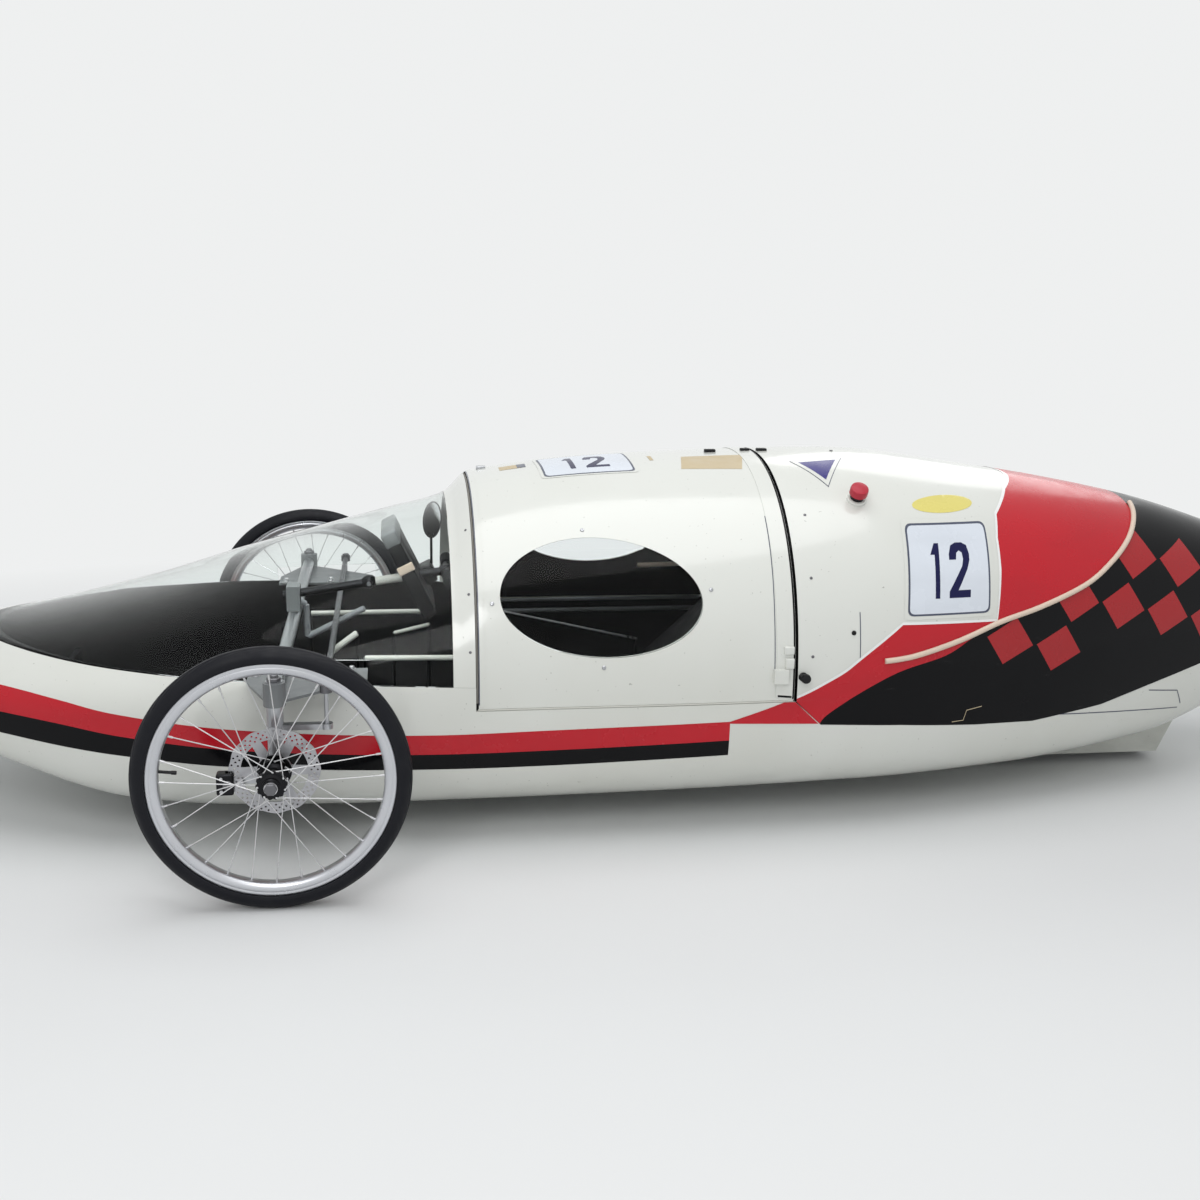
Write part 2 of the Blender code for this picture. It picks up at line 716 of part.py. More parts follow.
def make_brake_disc(name, centre, side):
    """A flat disc with a carrier ring round the hub, inboard of the spokes."""
    inner = HUB_RADIUS + SEAT_GAP
    y = centre[1] - side * DISC_INSET
    half = DISC_WIDTH / 2
    middle = Vector((centre[0], y, centre[2]))
    wide, through = Vector((0, half, 0)), Vector((0, BEYOND, 0))
    disc = rod(name, middle - wide, middle + wide, DISC_RADIUS, aluminium(), DISC_SIDES)
    cut(disc, rod("bore", middle - through, middle + through, inner, aluminium()))
    for i in range(6):
        angle = math.pi * i / 3 + DISC_HOLE_TURN
        place = middle + Vector((math.cos(angle), 0, math.sin(angle))) * DISC_HOLE_CIRCLE
        cut(disc, rod("hole", place - through, place + through, DISC_HOLE_RADIUS, aluminium(), 12))
    return with_origin(smooth(disc), centre)


def gusset_z():
    """Underside of the gusset plates, which lie on the sill where the beam crosses it."""
    return sill_z(AXLE_SETBACK - GUSSET_FRONT) + SEAT_GAP


def beam_z():
    return gusset_z() + GUSSET_THICKNESS + SEAT_GAP + BEAM_RADIUS


def tie_rod_z():
    return gusset_z() + GUSSET_THICKNESS + TIE_ROD_RISE


def boss_low():
    return gusset_z() - BOSS_BELOW_PLATE


def make_beam():
    """The cross beam between the two kingpin bosses, above the driver's legs."""
    end = kingpin_y() - BOSS_RADIUS - SEAT_GAP
    beam = rod("front_beam", (FRONT_X, -end, beam_z()), (FRONT_X, end, beam_z()), BEAM_RADIUS, aluminium())
    return smooth(beam)


def make_gusset(name, side):
    """A triangular plate from the sill out to the kingpin boss, with the kingpin and its nut."""
    y = side * kingpin_y()
    low = gusset_z()
    inner = side * GUSSET_INNER_Y
    shoulder = side * (GUSSET_INNER_Y + GUSSET_SHOULDER)
    outline = [
        (FRONT_X + GUSSET_FRONT, inner),
        (FRONT_X - GUSSET_BACK, inner),
        (FRONT_X - GUSSET_BACK, shoulder),
        (FRONT_X - KINGPIN_RADIUS * 2, y),
        (FRONT_X + KINGPIN_RADIUS * 2, y),
        (FRONT_X + GUSSET_FRONT, shoulder),
    ]
    gusset = plate(name, outline, low, low + GUSSET_THICKNESS, grey_steel(), "Z")
    top = low + GUSSET_THICKNESS + BOSS_HEIGHT
    boss = rod("boss", (FRONT_X, y, boss_low()), (FRONT_X, y, top), BOSS_RADIUS, grey_steel())
    nut_top = SLEEVE_LOW - SEAT_GAP
    nut_low = nut_top - KINGPIN_RADIUS
    pin = rod("pin", (FRONT_X, y, nut_low - SEAT_GAP), (FRONT_X, y, low), KINGPIN_RADIUS, grey_steel())
    nut = rod("nut", (FRONT_X, y, nut_low), (FRONT_X, y, nut_top), KINGPIN_RADIUS * 1.7, grey_steel(), 6)
    return smooth(joined(gusset, boss, pin, nut))


def make_knuckle(name, side):
    """Sleeve on the kingpin, stub axle, steering arm with its pin, and the caliper's bracket."""
    y = side * kingpin_y()
    top = boss_low() - SEAT_GAP
    knuckle = rod(name, (FRONT_X, y, SLEEVE_LOW), (FRONT_X, y, top), SLEEVE_RADIUS, aluminium())
    stub_end = side * (TRACK / 2 + HUB_HALF + AXLE_PAST_HUB)
    ends = (FRONT_X, y, WHEEL_RADIUS), (FRONT_X, stub_end, WHEEL_RADIUS)
    stub = rod("stub", *ends, AXLE_RADIUS, aluminium())
    collar_end = side * (TRACK / 2 - HUB_HALF - SEAT_GAP)
    ends = (FRONT_X, y, WHEEL_RADIUS), (FRONT_X, collar_end, WHEEL_RADIUS)
    collar = rod("collar", *ends, COLLAR_RADIUS, aluminium())
    arm_x, arm_top = FRONT_X - STEER_ARM, STEER_ARM_Z + STEER_ARM_THICKNESS
    corners = (arm_x, y - AXLE_RADIUS, STEER_ARM_Z), (FRONT_X, y + AXLE_RADIUS, arm_top)
    arm = block("arm", *corners, aluminium())
    pin_top = tie_rod_z() + 2 * TIE_ROD_RADIUS
    pin = rod("pin", (arm_x, y, STEER_ARM_Z), (arm_x, y, pin_top), STEER_PIN_RADIUS, aluminium(), 12)
    eye = rod("eye", (arm_x, y, STEER_ARM_Z), (arm_x, y, arm_top), EYE_RADIUS, aluminium())
    low, high = sorted((y, caliper_faces(side)[0] + side * BRACKET_LAP))
    z = WHEEL_RADIUS - CALIPER_DROP
    front = FRONT_X + CALIPER_FORWARD
    bracket = block("bracket", (FRONT_X, low, z - BRACKET_HALF), (front, high, z + BRACKET_HALF), aluminium())
    joined(knuckle, stub, collar, arm, pin, eye, bracket)
    bore = rod("bore", (FRONT_X, y, 0), (FRONT_X, y, 1), KINGPIN_RADIUS + SEAT_GAP, aluminium())
    return with_origin(smooth(cut(knuckle, bore)), (FRONT_X, y, WHEEL_RADIUS))


def caliper_faces(side):
    """Y of the caliper's inboard and outboard faces."""
    disc = side * (TRACK / 2 - DISC_INSET)
    return disc - side * CALIPER_HALF, disc + side * CALIPER_HALF


def make_caliper(name, side):
    """The brake caliper, slotted for the disc, at the end of its bracket."""
    low, high = sorted(caliper_faces(side))
    z = WHEEL_RADIUS - CALIPER_DROP
    x = FRONT_X + CALIPER_FORWARD + SEAT_GAP
    length, height = CALIPER_SIZE
    caliper = block(name, (x, low, z - height / 2), (x + length, high, z + height / 2), black_plastic())
    disc = side * (TRACK / 2 - DISC_INSET)
    slot_half = DISC_WIDTH / 2 + RUNNING_GAP
    reach = DISC_RADIUS + RUNNING_GAP
    ends = [(FRONT_X, disc + end * slot_half, WHEEL_RADIUS) for end in (-1, 1)]
    slot = rod("slot", *ends, reach, black_plastic(), DISC_SIDES)
    return with_origin(smooth(cut(caliper, slot)), (FRONT_X, side * kingpin_y(), WHEEL_RADIUS))


def make_tie_rod():
    """The rod between the two steering arms, with an eye at each end."""
    x, z = FRONT_X - STEER_ARM, tie_rod_z()
    y = kingpin_y()
    tie = rod("tie_rod", (x, -y, z), (x, y, z), TIE_ROD_RADIUS, aluminium(), 12)
    for side in (-1, 1):
        half = TIE_ROD_RADIUS * 1.2
        joined(tie, rod("eye", (x, side * y, z - half), (x, side * y, z + half), EYE_RADIUS, aluminium()))
    for side in (-1, 1):
        ends = (x, side * y, z - BEYOND), (x, side * y, z + BEYOND)
        cut(tie, rod("bore", *ends, STEER_PIN_RADIUS + SEAT_GAP, aluminium(), 12))
    return with_origin(smooth(tie), (x, y, z))


def column_line():
    front = Vector((along(COLUMN_FRONT[0]), 0, COLUMN_FRONT[1]))
    rear = Vector((along(COLUMN_REAR[0]), 0, COLUMN_REAR[1]))
    return front, rear


def make_steering_column():
    """The column with its cross bar and two grips at the driver's end."""
    front, rear = column_line()
    column = rod("steering_column", front, rear, COLUMN_RADIUS, aluminium())
    reach = Vector((0, GRIP_HALF, 0))
    bar = rod("bar", rear - reach, rear + reach, COLUMN_RADIUS, aluminium())
    joined(column, bar)
    for side in (-1, 1):
        start = rear + Vector((0, side * GRIP_HALF * 0.45, 0))
        end = rear + Vector((0, side * GRIP_HALF * 1.02, 0))
        joined(column, rod("grip", start, end, GRIP_RADIUS, black_plastic()))
    return with_origin(smooth(column), rear)


def make_column_bracket():
    """The upright on the beam that holds the column's foot."""
    front, rear = column_line()
    low = beam_z() + BEAM_RADIUS + SEAT_GAP
    half_x, half_y, rise = BRACKET_BLOCK
    high = front.z + rise
    corners = (FRONT_X - half_x, -half_y, low), (FRONT_X + half_x, half_y, high)
    bracket = block("column_bracket", *corners, grey_steel())
    direction = (rear - front).normalized()
    bore = rod("bore", front - direction * BEYOND, rear, COLUMN_RADIUS + SEAT_GAP, grey_steel())
    return smooth(cut(bracket, bore))


def make_board():
    """The instrument board, leaning back, bored for the steering column."""
    top = Vector((along(BOARD_TOP[0]), 0, BOARD_TOP[1]))
    foot = Vector((along(BOARD_FOOT[0]), 0, BOARD_FOOT[1]))
    up = (top - foot).normalized()
    out = Vector((-up.z, 0, up.x)) * BOARD_THICKNESS / 2
    outline = [(p.x, p.z) for p in (foot - out, foot + out, top + out, top - out)]
    board = plate("instrument_board", outline, -BOARD_HALF_WIDTH, BOARD_HALF_WIDTH, black_plastic())
    front, rear = column_line()
    bore = rod("bore", front, rear, COLUMN_RADIUS + SEAT_GAP, black_plastic())
    return smooth(cut(board, bore))


def make_mirror():
    """The round mirror on its stalk, which stands on the instrument board's rear face."""
    place = Vector((along(MIRROR_PLACE[0]), MIRROR_Y, MIRROR_PLACE[1]))
    half = Vector((-math.cos(MIRROR_TURN), math.sin(MIRROR_TURN), 0)) * MIRROR_THICKNESS / 2
    mirror = rod("mirror", place - half, place + half, MIRROR_RADIUS, black_plastic(), 28)
    top = Vector((along(BOARD_TOP[0]), place.y, BOARD_TOP[1]))
    foot = Vector((along(BOARD_FOOT[0]), place.y, BOARD_FOOT[1]))
    up = (top - foot).normalized()
    out = Vector((-up.z, 0, up.x))
    seat = foot.lerp(top, 0.62) + out * (BOARD_THICKNESS / 2 + SEAT_GAP)
    pad = rod("pad", seat, seat + out * 2 * MIRROR_STALK, MIRROR_RADIUS / 4, black_plastic())
    stalk_top = place - Vector((0, 0, MIRROR_RADIUS * 0.8))
    stalk = rod("stalk", seat + out * MIRROR_STALK, stalk_top, MIRROR_STALK, black_plastic(), 8)
    return smooth(joined(mirror, stalk, pad))


def slab(name, front, thickness, inset, look):
    """A cross wall that fits inside the shell, this far behind the nose."""
    wall = body_solid(name, inset, look)
    outline = [(front, -HIGH), (front, HIGH), (front + thickness, HIGH), (front + thickness, -HIGH)]
    return combined(wall, side_prism("region", outline), "INTERSECT")


def make_bulkhead():
    """The wall behind the driver, in front of the engine bay."""
    return smooth(slab("rear_bulkhead", BULKHEAD_FRONT, BULKHEAD_THICKNESS, WALL + SEAT_GAP, carbon()))


def make_seat():
    """The reclined seat shell, which lies on the tub's floor and leans on the bulkhead."""
    lower = [(place * LONG, z) for place, z in SEAT_LINE]
    low_place, low_z = min(lower, key=lambda row: row[1])
    floor = max(skin_z(low_place, y, WALL, top=False) for y in (0.0, SEAT_HALF_WIDTH))
    shift = floor + SEAT_GAP - low_z
    lower.append((BULKHEAD_FRONT - SEAT_GAP, lower[-1][1] + SEAT_LAST_RISE))
    below = [Vector((along(place), z + shift)) for place, z in lower]
    above = []
    for i, point in enumerate(below):
        before, after = below[max(i - 1, 0)], below[min(i + 1, len(below) - 1)]
        run = (after - before).normalized()
        above.append(point + Vector((run.y, -run.x)) * SEAT_THICKNESS)
    above[-1].x = below[-1].x
    outline = [(p.x, p.y) for p in below + above[::-1]]
    seat = plate("seat_shell", outline, -SEAT_HALF_WIDTH, SEAT_HALF_WIDTH, black_plastic())
    return smooth(combined(seat, body_solid("room", WALL + SEAT_GAP), "INTERSECT"))


def make_foot_rest():
    """The upright foot board across the nose's floor."""
    board = slab("foot_rest", FOOT_REST, FOOT_REST_THICKNESS, WALL + SEAT_GAP, carbon())
    high = skin_z(FOOT_REST, 0, WALL, top=False) + FOOT_REST_HEIGHT
    low_corner = (along(FOOT_REST) - BEYOND, -FOOT_REST_HALF_WIDTH, 0)
    limit = block("limit", low_corner, (along(FOOT_REST) + BEYOND, FOOT_REST_HALF_WIDTH, high), carbon())
    return smooth(combined(board, limit, "INTERSECT"))


def make_engine():
    """The engine as one plain block that stands on the floor behind the bulkhead."""
    front = BULKHEAD_FRONT + BULKHEAD_THICKNESS + ENGINE_BEHIND_BULKHEAD
    floor = skin_z(front, 0, WALL, top=False)
    low = (along(front + ENGINE_LENGTH), -ENGINE_HALF_WIDTH, 0)
    high = (along(front), ENGINE_HALF_WIDTH, floor + ENGINE_HEIGHT)
    engine = block("engine_block", low, high, grey_steel())
    return combined(engine, body_solid("room", WALL + SEAT_GAP), "INTERSECT")


def make_dropout(name, side):
    """The upright plate beside the rear wheel, standing on the floor, with the axle's hole."""
    near, far = sorted((side * DROPOUT_OUT, side * (DROPOUT_OUT + DROPOUT_THICKNESS)))
    front, rear = REAR_X + DROPOUT_HALF_LENGTH, REAR_X - DROPOUT_HALF_LENGTH
    front_z, rear_z = DROPOUT_SHOULDERS
    top = WHEEL_RADIUS + DROPOUT_TOP
    outline = [(rear, 0), (front, 0), (front, front_z), (REAR_X + DROPOUT_TOP, top)]
    outline += [(REAR_X - DROPOUT_TOP, top), (rear, rear_z)]
    dropout = plate(name, outline, near, far, aluminium())
    combined(dropout, body_solid("room", WALL + SEAT_GAP), "INTERSECT")
    ends = (REAR_X, near - BEYOND, WHEEL_RADIUS), (REAR_X, far + BEYOND, WHEEL_RADIUS)
    return smooth(cut(dropout, rod("hole", *ends, AXLE_RADIUS + SEAT_GAP, aluminium())))


def make_rear_axle():
    """The fixed rear axle with a nut outside each dropout and a spacer inside it."""
    nut_y = DROPOUT_OUT + DROPOUT_THICKNESS + SEAT_GAP
    nut_end = nut_y + AXLE_PAST_HUB
    end = nut_end + AXLE_PAST_HUB / 2
    ends = (REAR_X, -end, WHEEL_RADIUS), (REAR_X, end, WHEEL_RADIUS)
    axle = rod("rear_axle", *ends, AXLE_RADIUS, grey_steel())
    rings = [
        ("nut", nut_y, nut_end, AXLE_RADIUS * 1.75, 6),
        ("spacer", REAR_HUB_HALF + SEAT_GAP, DROPOUT_OUT - SEAT_GAP, AXLE_RADIUS * 1.5, 16),
    ]
    for side in (-1, 1):
        for name, near, far, radius, sides in rings:
            ends = (REAR_X, side * near, WHEEL_RADIUS), (REAR_X, side * far, WHEEL_RADIUS)
            joined(axle, rod(name, *ends, radius, grey_steel(), sides))
    return smooth(axle)


def make_fairing():
    """The white blade under the tail that encloses the rear wheel, open at its foot."""
    place = NOSE_X - REAR_X
    front, rear = place - WHEEL_RADIUS - FAIRING_AHEAD, place + WHEEL_RADIUS + FAIRING_BEHIND
    heel = rear - FAIRING_RAKE
    outline = [(front, FAIRING_TOP), (front, 2 * FAIRING_BOTTOM), (front + FAIRING_RAKE, FAIRING_BOTTOM)]
    outline += [(heel, FAIRING_BOTTOM), (rear, FAIRING_TOP), (rear, FAIRING_TOP + FAIRING_RAKE)]
    fairing = side_prism("rear_wheel_fairing", outline, FAIRING_HALF_WIDTH)
    wall = 2 * FAIRING_WALL
    inside = [(front + wall, HIGH), (front + wall, -BEYOND), (heel - wall, -BEYOND)]
    inside += [(heel - wall, FAIRING_BOTTOM), (rear - wall, FAIRING_TOP), (rear - wall, HIGH)]
    cut(fairing, side_prism("inside", inside, FAIRING_HALF_WIDTH - FAIRING_WALL))
    return smooth(cut(fairing, body_solid("body", -SEAT_GAP)))


def make_button():
    """The red mushroom stop button in its collar on the left of the tail cover."""
    place, z = BUTTON_PLACE
    foot = Vector((along(place), skin_y(place, z), z))
    out = skin_normal(place, z)
    profile = [(0.0, -0.3), (0.6, -0.3), (0.6, 0.45), (1.0, 0.55), (1.0, 0.85), (0.72, 1.0), (0.0, 1.0)]
    shape = bmesh.new()
    verts = [shape.verts.new((r * BUTTON_RADIUS, 0, h * BUTTON_HEIGHT)) for r, h in profile]
    edges = [shape.edges.new(pair) for pair in zip(verts, verts[1:])]
    bmesh.ops.spin(
        shape, geom=verts + edges, cent=(0, 0, 0), axis=(0, 0, 1), angle=2 * math.pi, steps=24, use_merge=True
    )
    bmesh.ops.remove_doubles(shape, verts=shape.verts, dist=1e-6)
    turn = out.to_track_quat("Z", "Y").to_matrix().to_4x4()
    bmesh.ops.transform(shape, matrix=Matrix.Translation(foot) @ turn, verts=shape.verts)
    button = from_bmesh("stop_button", shape, material("red_plastic", (0.55, 0.02, 0.02), 0.35))
    return smooth(cut(button, body_solid("body", -SEAT_GAP)))


def make_latch():
    """The hatch's latch block on its left, at the rear edge."""
    place, z = HATCH_REAR - LATCH_AHEAD, HATCH_SEAM_Z + LATCH_RISE
    half_length, out, half_height = LATCH_BLOCK
    x = along(place)
    y = skin_y(place, z + half_height) + SEAT_GAP
    corners = (x - half_length, y, z - half_height), (x + half_length, y + out, z + half_height)
    latch = block("hatch_latch", *corners, white_paint())
    return cut(latch, body_solid("body", -SEAT_GAP))


def main():
    for old in list(bpy.data.objects):
        bpy.data.objects.remove(old)
    make_tub()
    make_tail_panel()
    make_tail_cover()
    make_hoop()
    make_windscreen()
    make_hatch()
    make_hinge_bases()
    make_pane("side_window_left", WINDOW_LEFT, 1)
    make_pane("side_window_right", WINDOW_RIGHT, -1)
    make_beam()
    make_tie_rod()
    make_steering_column()
    make_column_bracket()
    make_board()
    make_mirror()
    make_bulkhead()
    make_seat()
    make_foot_rest()
    make_engine()
    make_rear_axle()
    make_fairing()
    make_button()
    make_latch()
    rear = (REAR_X, 0.0, WHEEL_RADIUS)
    make_tyre("tyre_rear", rear)
    make_spoked_wheel("wheel_rear", rear, REAR_HUB_HALF)
    for side, word in ((1, "left"), (-1, "right")):
        centre = wheel_centre(side)
        make_dropout(f"rear_dropout_{word}", side)
        make_gusset(f"kingpin_gusset_{word}", side)
        make_knuckle(f"knuckle_{word}", side)
        make_caliper(f"caliper_{word}", side)
        make_tyre(f"tyre_front_{word}", centre)
        make_spoked_wheel(f"wheel_front_{word}", centre)
        make_brake_disc(f"brake_disc_{word}", centre, side)


main()
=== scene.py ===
"""Looks of the enclosed three-wheeler: panels, livery, laced wheels, cockpit, light and camera."""

import math

import bmesh
import bpy
import numpy as np
from mathutils import Matrix, Vector


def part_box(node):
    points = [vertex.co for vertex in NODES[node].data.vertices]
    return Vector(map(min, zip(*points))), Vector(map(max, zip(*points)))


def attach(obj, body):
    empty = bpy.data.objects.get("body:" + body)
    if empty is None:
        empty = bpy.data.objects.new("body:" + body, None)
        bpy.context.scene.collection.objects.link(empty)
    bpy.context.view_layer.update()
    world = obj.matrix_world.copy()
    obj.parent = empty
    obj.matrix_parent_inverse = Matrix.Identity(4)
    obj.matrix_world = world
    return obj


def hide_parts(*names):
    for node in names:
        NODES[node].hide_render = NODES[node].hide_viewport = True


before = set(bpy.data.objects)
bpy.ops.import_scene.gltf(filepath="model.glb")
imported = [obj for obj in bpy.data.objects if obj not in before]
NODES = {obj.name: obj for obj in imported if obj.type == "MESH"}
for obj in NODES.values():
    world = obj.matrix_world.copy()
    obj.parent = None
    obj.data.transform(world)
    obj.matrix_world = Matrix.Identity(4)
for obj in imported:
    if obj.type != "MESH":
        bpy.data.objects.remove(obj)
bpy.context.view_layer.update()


def mm(*sizes):
    """Pairs of numbers that are written in millimetres, in metres."""
    return [(first / 1000, second / 1000) for first, second in zip(sizes[::2], sizes[1::2])]


# Sizes that the CAD source has too, in metres
BODY_LENGTH = 3.40
NOSE_X = BODY_LENGTH / 2
FRONT_X = 0.80
FRONT_FROM_NOSE = NOSE_X - FRONT_X
REAR_X = -0.82
TRACK = 1.24
WHEEL_RADIUS = 0.240
WALL = 0.008
SCREEN_WALL = 0.004
PANE_WALL = 0.003
SEAT_GAP = 0.0003
RUNNING_GAP = 0.005
LOWER_ROUNDNESS = 3.6
UPPER_ROUNDNESS = 2.2
BODY_SECTIONS = [
    (0.00, 0.284, 0.290, 0.296, 0.010),
    (0.01, 0.262, 0.289, 0.312, 0.052),
    (0.03, 0.245, 0.288, 0.325, 0.088),
    (0.12, 0.203, 0.282, 0.351, 0.172),
    (0.34, 0.136, 0.272, 0.382, 0.288),
    (0.60, 0.060, 0.270, 0.441, 0.385),
    (0.80, 0.045, 0.275, 0.503, 0.418),
    (1.10, 0.040, 0.280, 0.588, 0.430),
    (1.22, 0.040, 0.284, 0.622, 0.430),
    (1.27, 0.040, 0.285, 0.668, 0.430),
    (1.60, 0.043, 0.290, 0.708, 0.430),
    (2.05, 0.050, 0.295, 0.722, 0.415),
    (2.40, 0.055, 0.305, 0.683, 0.350),
    (2.75, 0.085, 0.335, 0.620, 0.255),
    (3.05, 0.195, 0.370, 0.530, 0.160),
    (3.30, 0.335, 0.405, 0.462, 0.065),
    (3.40, 0.412, 0.425, 0.438, 0.012),
]
SCREEN_TIP, SCREEN_TIP_Z = 0.24, 0.372
HOOP_FRONT, HOOP_REAR, SILL_Z = 1.220, 1.262, 0.335
HATCH_REAR, HATCH_SEAM_Z = 1.882, 0.290
TAIL_SEAM = mm(
    1885, 290, 1940, 238, 2110, 228, 2280, 212, 2420, 204, 2600, 221, 2720, 250, 2850, 281, 3450, 425,
)
TAIL_PANEL_FRONT = 2.90
WINDOW_LEFT, WINDOW_RIGHT, WINDOW_Z = 1.505, 1.575, 0.490
WINDOW_HALF_LENGTH, WINDOW_HALF_HEIGHT, WINDOW_TILT = 0.195, 0.105, math.radians(3.0)
WINDOW_CORNERS = 72
BAY_HALF_WIDTH, BAY_HALF_LENGTH = 0.048, 0.230

# Wheels
TYRE_WIDTH = 0.040
RIM_RADIUS = 0.213
RIM_DEPTH = 0.022
RIM_BED = RIM_RADIUS - 0.0095
RIM_WIDTH = 0.029
RIM_WALL = 0.003
HUB_RADIUS = 0.015
HUB_HALF = 0.043
REAR_HUB_HALF = 0.040
FLANGE_RADIUS = 0.027
FLANGE_HALF = 0.002
FLANGE_OUT = 0.026
AXLE_RADIUS = 0.008
SPOKES = 28
SPOKE_RADIUS = 0.0010
SPOKE_LEAN = math.radians(58.0)
DISC_RADIUS = 0.080
DISC_HALF = 0.001
DISC_INSET = 0.041
CALIPER_HALF = 0.012
KINGPIN_Y = TRACK / 2 - 0.088

# How finely the body's skin is drawn
STATION_STEP = 0.0125
COLUMNS = 144
NOSE_STATIONS = [0.0, 0.0015, 0.004, 0.008]

# A film's own thickness, and how far each layer of film lies above the one below
FILM = 0.00015
LAYER = 0.0003
HIGH = 1.0
BEYOND = 0.1

SIDES = ((1, "left"), (-1, "right"))
LEFT = Vector((0, 1, 0))
UP = Vector((0, 0, 1))


def along(from_nose):
    return NOSE_X - from_nose


def at(from_nose, y, z):
    return Vector((along(from_nose), y, z))


def turns(count):
    """Evenly spaced angles of one full turn."""
    return [2 * math.pi * i / count for i in range(count)]


def polar(radius, angle):
    return radius * math.cos(angle), radius * math.sin(angle)


def rectangle(front, rear, low, high):
    return [(front, low), (rear, low), (rear, high), (front, high)]


def section_at(from_nose):
    """Bottom, widest, top and half width there, by a monotone cubic through the table's rows."""
    rows = np.array(BODY_SECTIONS)
    places = rows[:, 0]
    steps = np.diff(places)
    slopes = np.diff(rows[:, 1:], axis=0) / steps[:, None]
    tangents = np.zeros_like(rows[:, 1:])
    same = slopes[:-1] * slopes[1:] > 0
    tangents[1:-1][same] = (2 * slopes[:-1] * slopes[1:] / (slopes[:-1] + slopes[1:] + 1e-12))[same]
    tangents[0], tangents[-1] = slopes[0], slopes[-1]
    place = min(max(from_nose, places[0]), places[-1])
    i = min(int(np.searchsorted(places, place, side="right")) - 1, len(steps) - 1)
    t = (place - places[i]) / steps[i]
    low, high = rows[i, 1:], rows[i + 1, 1:]
    return (
        (1 + 2 * t) * (1 - t) ** 2 * low
        + t * (1 - t) ** 2 * steps[i] * tangents[i]
        + t * t * (3 - 2 * t) * high
        + t * t * (t - 1) * steps[i] * tangents[i + 1]
    )


SECTIONS = {}


def skin_point(from_nose, angle, inset=0.0):
    """A point of the body's skin: angle 0 is the left widest line, 90 degrees the top, -90 the bottom."""
    if from_nose not in SECTIONS:
        SECTIONS[from_nose] = section_at(from_nose)
    bottom, widest, top, half = SECTIONS[from_nose]
    c, s = math.cos(angle), math.sin(angle)
    power = 2 / (UPPER_ROUNDNESS if s > 0 else LOWER_ROUNDNESS)
    height = (top - widest if s > 0 else widest - bottom) - inset
    y = math.copysign(abs(c) ** power, c) * max(half - inset, 0.001)
    z = widest + math.copysign(abs(s) ** power, s) * max(height, 0.001)
    return at(from_nose, y, z)


def skin_y(from_nose, z, inset=0.0):
    bottom, widest, top, half = section_at(from_nose)
    power = UPPER_ROUNDNESS if z > widest else LOWER_ROUNDNESS
    height = (top - widest if z > widest else widest - bottom) - inset
    share = min(abs(z - widest) / height, 1.0)
    return (half - inset) * (1 - share**power) ** (1 / power)


def skin_z(from_nose, y):
    """Height of the roof there."""
    _, widest, top, half = section_at(from_nose)
    share = min(abs(y) / half, 1.0)
    return widest + (top - widest) * (1 - share**UPPER_ROUNDNESS) ** (1 / UPPER_ROUNDNESS)


def on_skin(from_nose, z, side=1, lift=0.0):
    """The point of the left (1) or right (-1) skin there, and its outward direction."""
    step = 0.003
    y = skin_y(from_nose, z)
    run = Vector((-2 * step, skin_y(from_nose + step, z) - skin_y(from_nose - step, z), 0))
    rise = Vector((0, skin_y(from_nose, z + step) - skin_y(from_nose, z - step), 2 * step))
    normal = rise.cross(run).normalized()
    if normal.y < 0:
        normal = -normal
    point = at(from_nose, y, z) + normal * lift
    point.y *= side
    normal.y *= side
    return point, normal


def sill_z(from_nose):
    share = (HOOP_FRONT - from_nose) / (HOOP_FRONT - SCREEN_TIP)
    return SILL_Z + (SCREEN_TIP_Z - SILL_Z) * share


def tail_seam_z(from_nose):
    places, heights = zip(*TAIL_SEAM)
    return float(np.interp(from_nose, places, heights))


# Materials


def add_node(tree, kind, **inputs):
    """A shader node with its inputs linked to sockets or set to values."""
    made = tree.nodes.new(kind)
    for key, value in inputs.items():
        socket = made.inputs[key.replace("_", " ")]
        if isinstance(value, bpy.types.NodeSocket):
            tree.links.new(value, socket)
        else:
            socket.default_value = value
    return made


def reckoned(tree, operation, first, second):
    made = tree.nodes.new("ShaderNodeMath")
    made.operation = operation
    tree.links.new(first, made.inputs[0])
    tree.links.new(second, made.inputs[1])
    return made.outputs[0]


def mix_shaders(tree, factor, first, second, output):
    """Shows the first shader at factor 0 and the second at factor 1."""
    mix = add_node(tree, "ShaderNodeMixShader", Fac=factor)
    tree.links.new(first.outputs[0], mix.inputs[1])
    tree.links.new(second.outputs[0], mix.inputs[2])
    tree.links.new(mix.outputs[0], tree.nodes[output].inputs["Surface"])


def scaled(color, share, lift=0.0):
    return tuple(c * share + lift for c in color)


